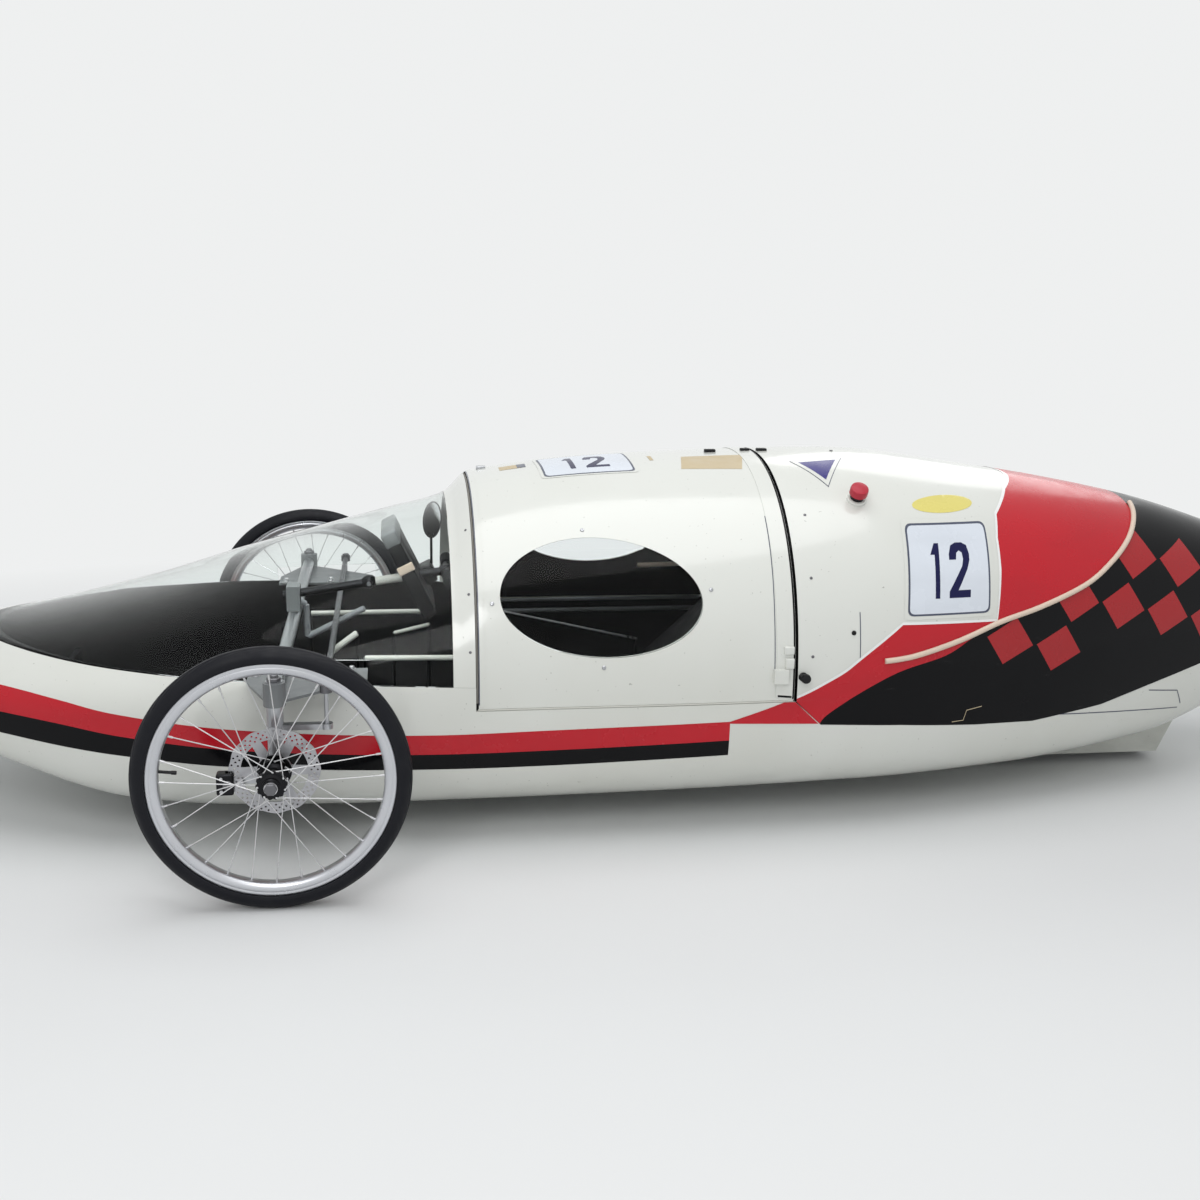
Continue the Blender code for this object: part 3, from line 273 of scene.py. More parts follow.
class Look:
    """One Principled material under construction, with short calls for its nodes."""

    def __init__(self, name, color, roughness, metallic=0.0):
        self.material = bpy.data.materials.new(name)
        self.material.use_nodes = True
        self.tree = self.material.node_tree
        self.shader = self.tree.nodes["Principled BSDF"]
        self.set("Base Color", (*color, 1))
        self.set("Roughness", roughness)
        self.set("Metallic", metallic)

    def set(self, socket, value):
        self.shader.inputs[socket].default_value = value
        return self

    def node(self, kind, **inputs):
        return add_node(self.tree, kind, **inputs)

    def place(self):
        return self.node("ShaderNodeTexCoord").outputs["Object"]

    def noise(self, scale, detail, stretch=(1, 1, 1)):
        mapped = self.node("ShaderNodeMapping", Vector=self.place(), Scale=stretch)
        made = self.node("ShaderNodeTexNoise", Vector=mapped.outputs[0], Scale=scale, Detail=detail)
        return made.outputs["Fac"]

    def ramp(self, value, low, high, start=0.0, end=1.0):
        limits = {"From Min": low, "From Max": high, "To Min": start, "To Max": end}
        return self.node("ShaderNodeMapRange", Value=value, **limits).outputs[0]

    def mixed(self, factor, other):
        """Blends the base colour towards another one by the factor."""
        made = self.tree.nodes.new("ShaderNodeMix")
        made.data_type = "RGBA"
        socket = self.shader.inputs["Base Color"]
        if socket.is_linked:
            self.tree.links.new(socket.links[0].from_socket, made.inputs[6])
        else:
            made.inputs[6].default_value = socket.default_value
        made.inputs[7].default_value = (*other, 1)
        self.tree.links.new(factor, made.inputs[0])
        self.tree.links.new(made.outputs[2], socket)
        return self

    def bump(self, height, strength, distance):
        made = self.node("ShaderNodeBump", Height=height, Strength=strength, Distance=distance)
        socket = self.shader.inputs["Normal"]
        if socket.is_linked:
            self.tree.links.new(socket.links[0].from_socket, made.inputs["Normal"])
        self.tree.links.new(made.outputs[0], socket)
        return self

    def patches(self, other, share, low, high, *noise):
        """Another colour where the noise is high, up to a share."""
        return self.mixed(self.ramp(self.noise(*noise), low, high, 0.0, share), other)

    def uneven(self, smoothest, roughest, low, high, *noise):
        value = self.ramp(self.noise(*noise), low, high, smoothest, roughest)
        self.tree.links.new(value, self.shader.inputs["Roughness"])
        return self

    def waves(self, strength, distance, *noise):
        return self.bump(self.noise(*noise), strength, distance)


def painted(name, color, dirt, roughness=0.16):
    """Hand-finished gloss paint: slow waves, fine orange peel, faint soiling and dulled patches."""
    look = Look(name, color, roughness)
    look.set("Coat Weight", 0.35).set("Coat Roughness", 0.06)
    look.patches(dirt, 0.35, 0.42, 0.72, 2.2, 3.0)
    height = look.node("ShaderNodeSeparateXYZ", Vector=look.place()).outputs["Z"]
    grime = look.ramp(height, 0.16, 0.03, 0.0, 0.55)
    cloudy = look.ramp(look.noise(9.0, 6.0, (1, 1, 2)), 0.40, 0.75)
    look.mixed(reckoned(look.tree, "MULTIPLY", grime, cloudy), scaled(dirt, 0.55))
    look.patches(scaled(dirt, 0.4), 0.6, 0.735, 0.76, 160.0, 2.0)
    look.uneven(roughness * 0.75, roughness * 1.7, 0.3, 0.8, 14.0, 5.0)
    return look.waves(0.25, 0.004, 7.0, 2.0).waves(0.10, 0.0003, 420.0, 1.0).material


def vinyl(name, color, roughness=0.2, shine=0.35):
    """Adhesive film: gloss with fine grain, faint stretch marks and small scuffs."""
    look = Look(name, color, roughness)
    look.set("Coat Weight", shine * 0.2).set("Coat Roughness", 0.08).set("Specular IOR Level", shine)
    look.patches(scaled(color, 0.75, 0.001), 0.4, 0.4, 0.8, 5.0, 4.0, (1, 1, 3))
    look.patches(scaled(color, 0.8, 0.03), 0.18, 0.68, 0.76, 60.0, 8.0, (0.15, 1, 1))
    look.uneven(roughness * 0.7, roughness * 1.9, 0.3, 0.8, 18.0, 6.0)
    return look.waves(0.25, 0.004, 6.0, 2.0).waves(0.12, 0.0003, 300.0, 2.0).material


def woven(name, color, roughness=0.24):
    """Black carbon laminate under resin: a twill of small squares in two lights."""
    look = Look(name, color, roughness)
    look.set("Coat Weight", 0.04).set("Coat Roughness", 0.12).set("Specular IOR Level", 0.12)
    twill = look.node("ShaderNodeTexChecker", Vector=look.place(), Scale=330.0).outputs["Fac"]
    look.mixed(look.ramp(twill, 0.0, 1.0, 0.0, 0.8), scaled(color, 1.3))
    look.patches((0.005, 0.005, 0.005), 0.5, 0.5, 0.8, 6.0, 5.0)
    look.uneven(roughness, roughness * 2.2, 0.3, 0.8, 12.0, 6.0)
    return look.bump(twill, 0.03, 0.0001).waves(0.3, 0.004, 5.0, 2.0).material


def metal(name, color, roughness, scale=60.0):
    """Bare metal with small dull spots and handling marks."""
    look = Look(name, color, roughness, 1.0)
    look.patches(scaled(color, 0.72), 0.3, 0.45, 0.85, scale / 3, 6.0)
    look.uneven(roughness * 0.8, roughness * 1.35, 0.25, 0.8, scale, 6.0)
    return look.waves(0.07, 0.0002, scale * 6, 3.0).material


def lining(name, color):
    """Matt black paint inside the shell, with faint cloudy wear."""
    look = Look(name, color, 0.6)
    look.set("Specular IOR Level", 0.12)
    look.patches(scaled(color, 2, 0.001), 0.5, 0.45, 0.8, 5.0, 4.0)
    return look.uneven(0.55, 0.75, 0.3, 0.7, 9.0, 3.0).waves(0.15, 0.003, 4.0, 2.0).material


def moulded(name, color, roughness=0.45, metallic=0.0):
    """Moulded or powder-coated surface with a fine grain and dusty patches."""
    look = Look(name, color, roughness, metallic)
    look.set("Specular IOR Level", 0.25)
    look.patches(scaled(color, 0.85, 0.004), 0.5, 0.5, 0.85, 12.0, 6.0)
    look.uneven(roughness * 0.75, min(roughness * 1.4, 1.0), 0.3, 0.8, 30.0, 5.0)
    return look.waves(0.25, 0.0003, 900.0, 2.0).material


def tyre_rubber(name, color):
    """Slick rubber: matt, finely grained and dusty."""
    look = Look(name, color, 0.5)
    look.set("Specular IOR Level", 0.22)
    look.patches((0.011, 0.011, 0.013), 0.5, 0.5, 0.85, 25.0, 8.0)
    return look.uneven(0.42, 0.62, 0.3, 0.8, 40.0, 5.0).waves(0.35, 0.0004, 700.0, 3.0).material


def clear_sheet(name, tint, roughness=0.015):
    """Thin clear plastic that lets lamps through, with light haze."""
    look = Look(name, tint, roughness)
    look.set("Transmission Weight", 1.0).set("IOR", 1.14)
    look.uneven(roughness * 0.6, roughness * 2.2, 0.35, 0.8, 8.0, 5.0)
    look.waves(0.10, 0.006, 3.0, 2.0)
    through = look.node("ShaderNodeBsdfTransparent", Color=(*scaled(tint, 0.7, 0.3), 1))
    shadow = look.node("ShaderNodeLightPath").outputs["Is Shadow Ray"]
    mix_shaders(look.tree, shadow, look.shader, through, "Material Output")
    return look.material


WHITE = painted("white_gelcoat", (0.66, 0.67, 0.63), (0.54, 0.54, 0.47))
RED_FILM = vinyl("red_film", (0.48, 0.004, 0.014))
BLACK_FILM = vinyl("black_film", (0.0018, 0.0018, 0.0026), 0.16, 0.14)
DARK_RED_FILM = vinyl("dark_red_film", (0.36, 0.008, 0.012), 0.24)
PLATE_FILM = vinyl("plate_film", (0.66, 0.70, 0.76), 0.2)
NAVY_FILM = vinyl("navy_film", (0.005, 0.006, 0.055), 0.2, 0.2)
LINE_FILM = vinyl("line_film", (0.07, 0.08, 0.12), 0.25)
YELLOW_FILM = vinyl("yellow_film", (0.68, 0.60, 0.17), 0.25)
BLUE_FILM = vinyl("blue_film", (0.020, 0.014, 0.17), 0.25)
TAPE_FILM = vinyl("tan_tape", (0.52, 0.43, 0.28), 0.5)
# Near-white film whose colour is a painted highlight along the top edge of the red swoosh.
EDGE_HIGHLIGHT_FILM = vinyl("painted_edge_highlight", (0.80, 0.80, 0.79), 0.2)
SEAL = moulded("black_seal", (0.003, 0.003, 0.003), 0.7)
LINER = lining("black_liner", (0.0018, 0.0017, 0.0022))
GREY_SEAL = moulded("grey_seal", (0.22, 0.21, 0.19), 0.7)
PALE_SEAL = moulded("pale_seal", (0.58, 0.58, 0.53), 0.7)
PALE_TUBE = moulded("pale_tube", (0.60, 0.60, 0.56), 0.3)
ARM_PAINT = moulded("arm_paint", (0.30, 0.31, 0.33), 0.35, 0.2)
CREAM = moulded("cream_bead", (0.66, 0.54, 0.44), 0.35)
CARBON = woven("carbon_laminate", (0.0022, 0.0022, 0.0030))
ALLOY = metal("bright_alloy", (0.46, 0.47, 0.49), 0.32)
RIM_ALLOY = metal("rim_alloy", (0.58, 0.59, 0.62), 0.30, 40.0)
SPOKE_STEEL = metal("spoke_steel", (0.62, 0.62, 0.63), 0.3)
BLACK_ANODISED = metal("black_anodised", (0.022, 0.022, 0.024), 0.32)
GREY_PAINT = moulded("grey_coated_steel", (0.20, 0.21, 0.215), 0.4, 0.3)
DARK_STEEL = metal("dark_steel", (0.16, 0.16, 0.17), 0.4)
DISC_STEEL = metal("disc_steel", (0.42, 0.42, 0.44), 0.3)
BLACK_PLASTIC = moulded("black_plastic", (0.0045, 0.0045, 0.0055), 0.42)
GRIP_RUBBER = moulded("grip_rubber", (0.014, 0.014, 0.015), 0.7)
RUBBER = tyre_rubber("tyre_rubber_worn", (0.0035, 0.0040, 0.0070))
RED_PLASTIC = moulded("red_plastic_cap", (0.42, 0.03, 0.05), 0.35)
SCREEN = clear_sheet("clear_screen", (0.93, 0.96, 0.95))
PANE = clear_sheet("window_pane", (0.94, 0.96, 0.96))
MIRROR_GLASS = metal("mirror_glass", (0.75, 0.77, 0.78), 0.03)
FOAM = moulded("seat_laminate", (0.0035, 0.0030, 0.0032), 0.5)


# Mesh helpers


def new_object(name, mesh, look):
    made = bpy.data.objects.new(name, mesh)
    bpy.context.scene.collection.objects.link(made)
    if look:
        mesh.materials.append(look)
    return made


def from_bmesh(name, shape, look=None, outward=True):
    if outward:
        bmesh.ops.recalc_face_normals(shape, faces=shape.faces)
    mesh = bpy.data.meshes.new(name)
    shape.to_mesh(mesh)
    shape.free()
    return new_object(name, mesh, look)


def final_mesh(target):
    """The object's mesh after its modifiers or its curve settings."""
    bpy.context.view_layer.update()
    graph = bpy.context.evaluated_depsgraph_get()
    return bpy.data.meshes.new_from_object(target.evaluated_get(graph))


def combined(target, tool, operation):
    modifier = target.modifiers.new(operation.lower(), "BOOLEAN")
    modifier.object = tool
    modifier.operation = operation
    modifier.solver = "EXACT"
    mesh = final_mesh(target)
    target.modifiers.clear()
    target.data = mesh
    bpy.data.objects.remove(tool)
    return target


def smooth(target, degrees=32):
    target.data.shade_smooth()
    target.data.set_sharp_from_angle(angle=math.radians(degrees))
    return target


def settle(target, body, slot, *nodes):
    """Puts a finished piece on its body and hides the CAD nodes that it stands for; the slot is not used."""
    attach(target, body)
    if nodes:
        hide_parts(*nodes)
    return target


def prism(outline, low=-HIGH, high=HIGH):
    """A cutter along Y from (behind the nose, height) corners."""
    shape = bmesh.new()
    corners = [shape.verts.new((along(place), low, z)) for place, z in outline]
    face = shape.faces.new(corners)
    pushed = bmesh.ops.extrude_face_region(shape, geom=[face])
    moved = [item for item in pushed["geom"] if isinstance(item, bmesh.types.BMVert)]
    bmesh.ops.translate(shape, vec=(0, high - low, 0), verts=moved)
    return from_bmesh("prism", shape)


def stations(front, rear):
    """Places behind the nose on one fixed grid, so that films and panels share their facets."""
    first, last = math.floor(front / STATION_STEP), math.ceil(rear / STATION_STEP)
    grid = [i * STATION_STEP for i in range(max(first, 0), min(last, round(BODY_LENGTH / STATION_STEP)) + 1)]
    return NOSE_STATIONS + grid[1:] if front <= 0 else grid


def skin_rings(shape, places, columns, inset):
    rings = []
    for place in places:
        place = min(max(place, inset), BODY_LENGTH - inset)
        rings.append([shape.verts.new(skin_point(place, 2 * math.pi * i / COLUMNS, inset)) for i in columns])
    return rings


def panel(name, front, rear, wall, look, outline, low=-HIGH, high=HIGH):
    """A stretch of the body as a closed wall, cut to an outline of (behind the nose, height) corners."""
    shape = bmesh.new()
    places = stations(front, rear)
    columns = range(COLUMNS)
    for inset, flip in ((0.0, False), (wall, True)):
        rings = skin_rings(shape, places, columns, inset)
        faces = []
        for ring, after in zip(rings, rings[1:]):
            for j in range(COLUMNS):
                k = (j + 1) % COLUMNS
                faces.append(shape.faces.new((ring[j], ring[k], after[k], after[j])))
        faces += [shape.faces.new(rings[0][::-1]), shape.faces.new(rings[-1])]
        if flip:
            bmesh.ops.reverse_faces(shape, faces=faces)
    wall_piece = from_bmesh(name, shape, look, outward=False)
    return smooth(combined(wall_piece, prism(outline, low, high), "INTERSECT"))


def film(name, outline, layer, look, side=1, within=None, thickness=FILM):
    """A thin film on one side of the body, cut to an outline of (behind the nose, height) corners.

    With side 0 it lies on the roof, and the corners are (behind the nose, distance to the left).
    """
    places = stations(min(p for p, _ in outline) - STATION_STEP, max(p for p, _ in outline) + STATION_STEP)
    quarter = COLUMNS // 4
    first = {1: -quarter, 0: 4, -1: quarter}[side]
    columns = range(first, 2 * quarter - 3 if side == 0 else first + 2 * quarter + 1)
    shape = bmesh.new()
    outer = skin_rings(shape, places, columns, -(layer * LAYER + thickness))
    inner = skin_rings(shape, places, columns, -layer * LAYER)
    last = len(columns) - 1
    for i in range(len(places) - 1):
        for j in range(last):
            shape.faces.new((outer[i][j], outer[i][j + 1], outer[i + 1][j + 1], outer[i + 1][j]))
            shape.faces.new((inner[i][j + 1], inner[i][j], inner[i + 1][j], inner[i + 1][j + 1]))
        for j in (0, last):
            shape.faces.new((outer[i][j], outer[i + 1][j], inner[i + 1][j], inner[i][j]))
    for i in (0, len(places) - 1):
        for j in range(last):
            shape.faces.new((outer[i][j], outer[i][j + 1], inner[i][j + 1], inner[i][j]))
    made = from_bmesh(name, shape, look)
    if side:
        combined(made, prism(outline, min(side, 0) * HIGH, max(side, 0) * HIGH), "INTERSECT")
    else:
        cutter = prism([(place, -y) for place, y in outline], 0.4, HIGH)
        cutter.data.transform(Matrix.Rotation(math.pi / 2, 4, "X"))
        combined(made, cutter, "INTERSECT")
    if within:
        combined(made, prism(within), "INTERSECT")
    return smooth(made)


def ribbon(points, width):
    """The outline of a line of this width through the points."""
    line = [np.array(point, dtype=float) for point in points]
    sides = ([], [])
    for i, here in enumerate(line):
        run = line[min(i + 1, len(line) - 1)] - line[max(i - 1, 0)]
        across = np.array((-run[1], run[0])) / np.linalg.norm(run) * width / 2
        sides[0].append(tuple(here + across))
        sides[1].append(tuple(here - across))
    return sides[0] + sides[1][::-1]


def curve_through(points, steps=8):
    """A smooth line through a few (behind the nose, height) points."""
    line = []
    padded = [np.array(point) for point in (points[0], *points, points[-1])]
    for a, b, c, d in zip(padded, padded[1:], padded[2:], padded[3:]):
        for s in range(steps):
            t = s / steps
            value = 2 * b + (c - a) * t + (2 * a - 5 * b + 4 * c - d) * t * t + (3 * b - a - 3 * c + d) * t**3
            line.append((float(value[0]) / 2, float(value[1]) / 2))
    return line + [points[-1]]


def drawn_mesh(name, lines, closed, **settings):
    """The mesh of a curve with these settings through lines of points."""
    curve = bpy.data.curves.new(name, "CURVE")
    for key, value in settings.items():
        setattr(curve, key, value)
    for points in lines:
        line = curve.splines.new("POLY")
        line.points.add(len(points) - 1)
        for point, place in zip(line.points, points):
            point.co = (*place, 1)
        line.use_cyclic_u = closed
    made = bpy.data.objects.new(name, curve)
    bpy.context.scene.collection.objects.link(made)
    mesh = final_mesh(made)
    bpy.data.objects.remove(made)
    return mesh


def tube(name, points, radius, look):
    """A round rod or hose along points, with closed ends."""
    settings = {"dimensions": "3D", "bevel_depth": radius, "bevel_resolution": 3, "use_fill_caps": True}
    return smooth(new_object(name, drawn_mesh(name, [points], False, **settings), look), 40)


def joined(name, parts):
    """Several mesh objects as one piece, each with its own material."""
    first = parts[0]
    with bpy.context.temp_override(active_object=first, selected_editable_objects=parts, object=first):
        bpy.ops.object.join()
    first.name = name
    first.data.name = name
    return first


def seat(name, parts, body, slot, *nodes):
    """Joins the parts and puts them on their body as one piece."""
    return settle(joined(name, parts), body, slot, *nodes)


def turned(name, profile, centre, look, segments=144):
    """A closed profile of (radius, offset) turned about the wheel axis through the centre."""
    shape = bmesh.new()
    rings = []
    for i, angle in enumerate(turns(segments)):
        c, s = math.cos(angle), math.sin(angle)
        rings.append([shape.verts.new(Vector(centre) + Vector((r * c, o, r * s))) for r, o in profile(i)])
    for i, ring in enumerate(rings):
        after = rings[(i + 1) % segments]
        for j in range(len(ring)):
            k = (j + 1) % len(ring)
            shape.faces.new((ring[j], ring[k], after[k], after[j]))
    return from_bmesh(name, shape, look)


def lathe(name, profile, place, direction, look, steps=24):
    """A solid turned about the direction: (radius, height) rows from one end to the other."""
    shape = bmesh.new()
    turn = Vector(direction).to_track_quat("Z", "Y").to_matrix()
    rings = []
    for radius, height in profile:
        spots = [Vector((*polar(radius, a), height)) for a in (turns(steps) if radius else [0.0])]
        rings.append([shape.verts.new(Vector(place) + turn @ spot) for spot in spots])
    for low, high in zip(rings, rings[1:]):
        for i in range(steps):
            k = (i + 1) % steps
            corners = [low[i % len(low)], low[k % len(low)], high[k % len(high)], high[i % len(high)]]
            unique = [corner for j, corner in enumerate(corners) if corner not in corners[:j]]
            if len(unique) > 2:
                shape.faces.new(unique)
    for ring in (rings[0], rings[-1]):
        if len(ring) > 1:
            shape.faces.new(ring)
    return smooth(from_bmesh(name, shape, look))


def rod(name, start, end, radius, look, steps=24, edge=0.0):
    """A round bar between two points, with its end edges taken off."""
    start, end = Vector(start), Vector(end)
    length = (end - start).length
    profile = [(radius, 0.0), (radius, length)]
    if edge:
        profile = [(radius - edge, 0.0), (radius, edge), (radius, length - edge), (radius - edge, length)]
    return lathe(name, profile, start, end - start, look, steps)


def slug(name, radius, low, high, place, direction, look, steps):
    """A plain round solid."""
    rows = [(0, low), (radius, low), (radius, high), (0, high)]
    return lathe(name, rows, place, direction, look, steps)


def capped(name, sizes, place, direction, look, steps):
    """A round or hexagonal solid whose upper edge is taken off."""
    radius, low, shoulder, top_radius, top = sizes
    rows = [(0, low), (radius, low), (radius, shoulder), (top_radius, top), (0, top)]
    return lathe(name, rows, place, direction, look, steps)


def block(name, low, high, look, edge=0.001, steps=2):
    """A box with rounded edges."""
    low, high = Vector(low), Vector(high)
    shape = bmesh.new()
    made = bmesh.ops.create_cube(shape, size=1.0)
    bmesh.ops.scale(shape, vec=high - low, verts=made["verts"])
    bmesh.ops.translate(shape, vec=(low + high) / 2, verts=made["verts"])
    bmesh.ops.bevel(shape, geom=shape.edges[:], offset=edge, segments=steps, profile=0.5, affect="EDGES")
    return smooth(from_bmesh(name, shape, look), 50)


def pierced(name, loops, half, centre, look):
    """A flat plate across the wheel axis: closed (x, z) loops, its rim first and then its holes."""
    lines = [[(x, z, 0) for x, z in loop] for loop in loops]
    mesh = drawn_mesh(name, lines, True, dimensions="2D", fill_mode="BOTH", extrude=half)
    mesh.transform(Matrix.Translation(centre) @ Matrix.Rotation(math.pi / 2, 4, "X"))
    shape = bmesh.new()
    shape.from_mesh(mesh)
    bmesh.ops.remove_doubles(shape, verts=shape.verts, dist=1e-6)
    return smooth(from_bmesh(name, shape, look))


def circle(x, z, radius, count=12):
    return [(x + radius * math.cos(turn), z + radius * math.sin(turn)) for turn in turns(count)]


def wavy(count, radius, depth, waves, phase=0.0):
    """A round outline with shallow waves, such as a notched flange or a disc's rim."""
    return [polar(radius + depth * math.cos(waves * turn + phase), turn) for turn in turns(count)]


# Body panels

LINED_SHARE = 0.8


def window_outline(centre, grow=0.0):
    """The tilted oval of a window about its middle behind the nose."""
    c, s = math.cos(WINDOW_TILT), math.sin(WINDOW_TILT)
    corners = []
    for angle in turns(WINDOW_CORNERS):
        x = (WINDOW_HALF_LENGTH + grow) * math.cos(angle)
        z = (WINDOW_HALF_HEIGHT + grow) * math.sin(angle)
        corners.append((centre - x * c + z * s, WINDOW_Z + x * s + z * c))
    return corners


def tub_region():
    """Outline of the tub from the side: under the sill, the hatch's seam and the tail's seam."""
    tip, rear = SCREEN_TIP - BEYOND, TAIL_PANEL_FRONT
    seam = [(place, z) for place, z in TAIL_SEAM if place < rear]
    outline = [(-BEYOND, -BEYOND), (rear, -BEYOND), (rear, tail_seam_z(rear) - SEAT_GAP)]
    outline += [(place, z - (SEAT_GAP if i else RUNNING_GAP / 2)) for i, (place, z) in enumerate(seam)][::-1]
    outline += [(HOOP_REAR, HATCH_SEAM_Z - RUNNING_GAP / 2), (HOOP_REAR, sill_z(HOOP_REAR))]
    return outline + [(tip, sill_z(tip)), (tip, HIGH), (-BEYOND, HIGH)]


def line_inside(target):
    """Gives the faces of a panel's inner side the lining."""
    target.data.materials.append(LINER)
    reach = WALL * LINED_SHARE
    for face in target.data.polygons:
        centre = face.center
        bottom, widest, top, half = section_at(NOSE_X - centre.x)
        power = UPPER_ROUNDNESS if centre.z > widest else LOWER_ROUNDNESS
        height = (top - widest if centre.z > widest else widest - bottom) - reach
        share = (abs(centre.y) / max(half - reach, 0.002)) ** power
        share += (abs(centre.z - widest) / max(height, 0.002)) ** power
        if share < 1:
            face.material_index = len(target.data.materials) - 1


def make_tub():
    tub = panel("tub_skin", 0, TAIL_PANEL_FRONT + BEYOND, WALL, WHITE, tub_region())
    axle = along(REAR_X)
    bay = rectangle(axle - BAY_HALF_LENGTH, axle + BAY_HALF_LENGTH, -BEYOND, WHEEL_RADIUS)
    combined(tub, prism(bay, -BAY_HALF_WIDTH, BAY_HALF_WIDTH), "DIFFERENCE")
    line_inside(tub)
    settle(smooth(tub), "root", "white_paint", "tub_shell")


def make_tail():
    start, end = TAIL_PANEL_FRONT + SEAT_GAP, BODY_LENGTH + BEYOND
    outline = [(start, 0), (end, 0)] + [(place, tail_seam_z(place) - SEAT_GAP) for place in (end, start)]
    cone = panel("tail_cone_skin", TAIL_PANEL_FRONT - BEYOND, BODY_LENGTH, WALL, WHITE, outline)
    settle(cone, "root", "white_paint", "tail_underpanel")
    cover = panel("tail_cover_skin", HATCH_REAR - BEYOND, BODY_LENGTH, WALL, WHITE, cover_region())
    line_inside(cover)
    settle(smooth(cover), "root", "white_paint", "tail_cover")


def cover_region():
    front = HATCH_REAR + 2 * SEAT_GAP + RUNNING_GAP
    return [(front, HIGH), (front, tail_seam_z(front))] + TAIL_SEAM[1:] + [(TAIL_SEAM[-1][0], HIGH)]


def make_hoop():
    foot, rear = sill_z(HOOP_REAR) + SEAT_GAP, HOOP_REAR - SEAT_GAP
    outline = [(HOOP_FRONT, HIGH), (HOOP_FRONT, sill_z(HOOP_FRONT) + SEAT_GAP), (rear, foot), (rear, HIGH)]
    hoop = panel("cab_hoop_skin", HOOP_FRONT - BEYOND, HOOP_REAR + BEYOND, WALL * 1.5, WHITE, outline)
    settle(hoop, "root", "white_paint", "cab_hoop")


def make_windscreen():
    """The clear sheet, cut out over the tie rod and the gussets."""
    gusset_low, gusset_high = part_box("kingpin_gusset_left")
    front, back = NOSE_X - gusset_high.x - RUNNING_GAP, NOSE_X - gusset_low.x + RUNNING_GAP
    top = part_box("tie_rod")[1].z + RUNNING_GAP
    tip, foot = SCREEN_TIP - BEYOND, HOOP_FRONT - SEAT_GAP
    edge = {place: (place, sill_z(place) + SEAT_GAP) for place in (tip, front, back, foot)}
    outline = [(tip, HIGH), edge[tip], edge[front], (front, top)]
    outline += [(back, top), edge[back], edge[foot], (foot, HIGH)]
    screen = panel("windscreen_sheet", tip, HOOP_REAR, SCREEN_WALL, SCREEN, outline)
    settle(screen, "root", "clear_plastic", "windscreen")


def make_hatch():
    front, rear = HOOP_REAR + RUNNING_GAP, HATCH_REAR - SEAT_GAP
    outline = rectangle(front, rear, HATCH_SEAM_Z + RUNNING_GAP / 2, HIGH)
    hatch = panel("hatch_skin", front - BEYOND, rear + BEYOND, WALL, WHITE, outline)
    windows = (("left", WINDOW_LEFT, BEYOND, HIGH), ("right", WINDOW_RIGHT, -HIGH, -BEYOND))
    for word, centre, low, high in windows:
        combined(hatch, prism(window_outline(centre), low, high), "DIFFERENCE")
    line_inside(hatch)
    settle(smooth(hatch), "hatch", "white_paint", "hatch_shell")
    for word, centre, low, high in windows:
        reach, edge = 0.25, window_outline(centre, -SEAT_GAP)
        pane = panel(f"window_pane_{word}", centre - reach, centre + reach, PANE_WALL, PANE, edge, low, high)
        settle(pane, "hatch", "clear_plastic", f"side_window_{word}")


# Wheels and brakes

TREAD_SEGMENTS = 288
TREAD_STEPS = 64
TREAD_GROOVES = (-0.006, 0.006)
GROOVE_DEPTH, GROOVE_HALF = 0.0008, 0.0007
SIPE_ZONE, SIPE_EVERY, SIPE_SLANT = (0.008, 0.0145), 6, 900
WALL_LINE, WALL_LINE_HALF, WALL_LINE_RISE = 0.86, 0.035, 0.0003
DISC_ARMS, ARM_OUTER, ARM_INNER = 6, 0.0585, 0.0310
HOLE_RINGS = ((0.0635, 0.0), (0.0690, 0.5), (0.0745, 0.0))
HOLES, HOLE_RADIUS = 36, 0.0019
CARRIER_BOLTS, CARRIER_BOLT_RING = 6, 0.0235


def mirrored(rows):
    """The rows and their mirror image about the wheel's middle, as one section."""
    return rows + [(r, -o) for r, o in rows[::-1]]


def tyre_section(turn):
    """(radius, offset) rows of a slick casing with two grooves, slanted sipes and a line on each wall."""
    round_radius = TYRE_WIDTH / 2
    middle = WHEEL_RADIUS - round_radius
    foot = RIM_WIDTH / 2 - RIM_WALL - SEAT_GAP
    shoulder = RIM_RADIUS + SEAT_GAP
    reach = math.acos((shoulder - middle) / round_radius)
    rows = [(RIM_BED + SEAT_GAP, -foot), (shoulder, -foot)]
    for i in range(TREAD_STEPS + 1):
        angle = reach * (2 * i / TREAD_STEPS - 1)
        offset = round_radius * math.sin(angle)
        grooved = any(abs(offset - groove) < GROOVE_HALF for groove in TREAD_GROOVES)
        slanted = (turn + round(abs(offset) * SIPE_SLANT)) % SIPE_EVERY == 0
        sipe = slanted and SIPE_ZONE[0] < abs(offset) < SIPE_ZONE[1]
        depth = GROOVE_DEPTH if grooved or sipe else 0.0
        if abs(abs(angle) - WALL_LINE * reach) < WALL_LINE_HALF:
            depth = -WALL_LINE_RISE
        row_radius, row_offset = polar(round_radius - depth, angle)
        rows.append((middle + row_radius, row_offset))
    return rows + [(shoulder, foot), (RIM_BED + SEAT_GAP, foot)]


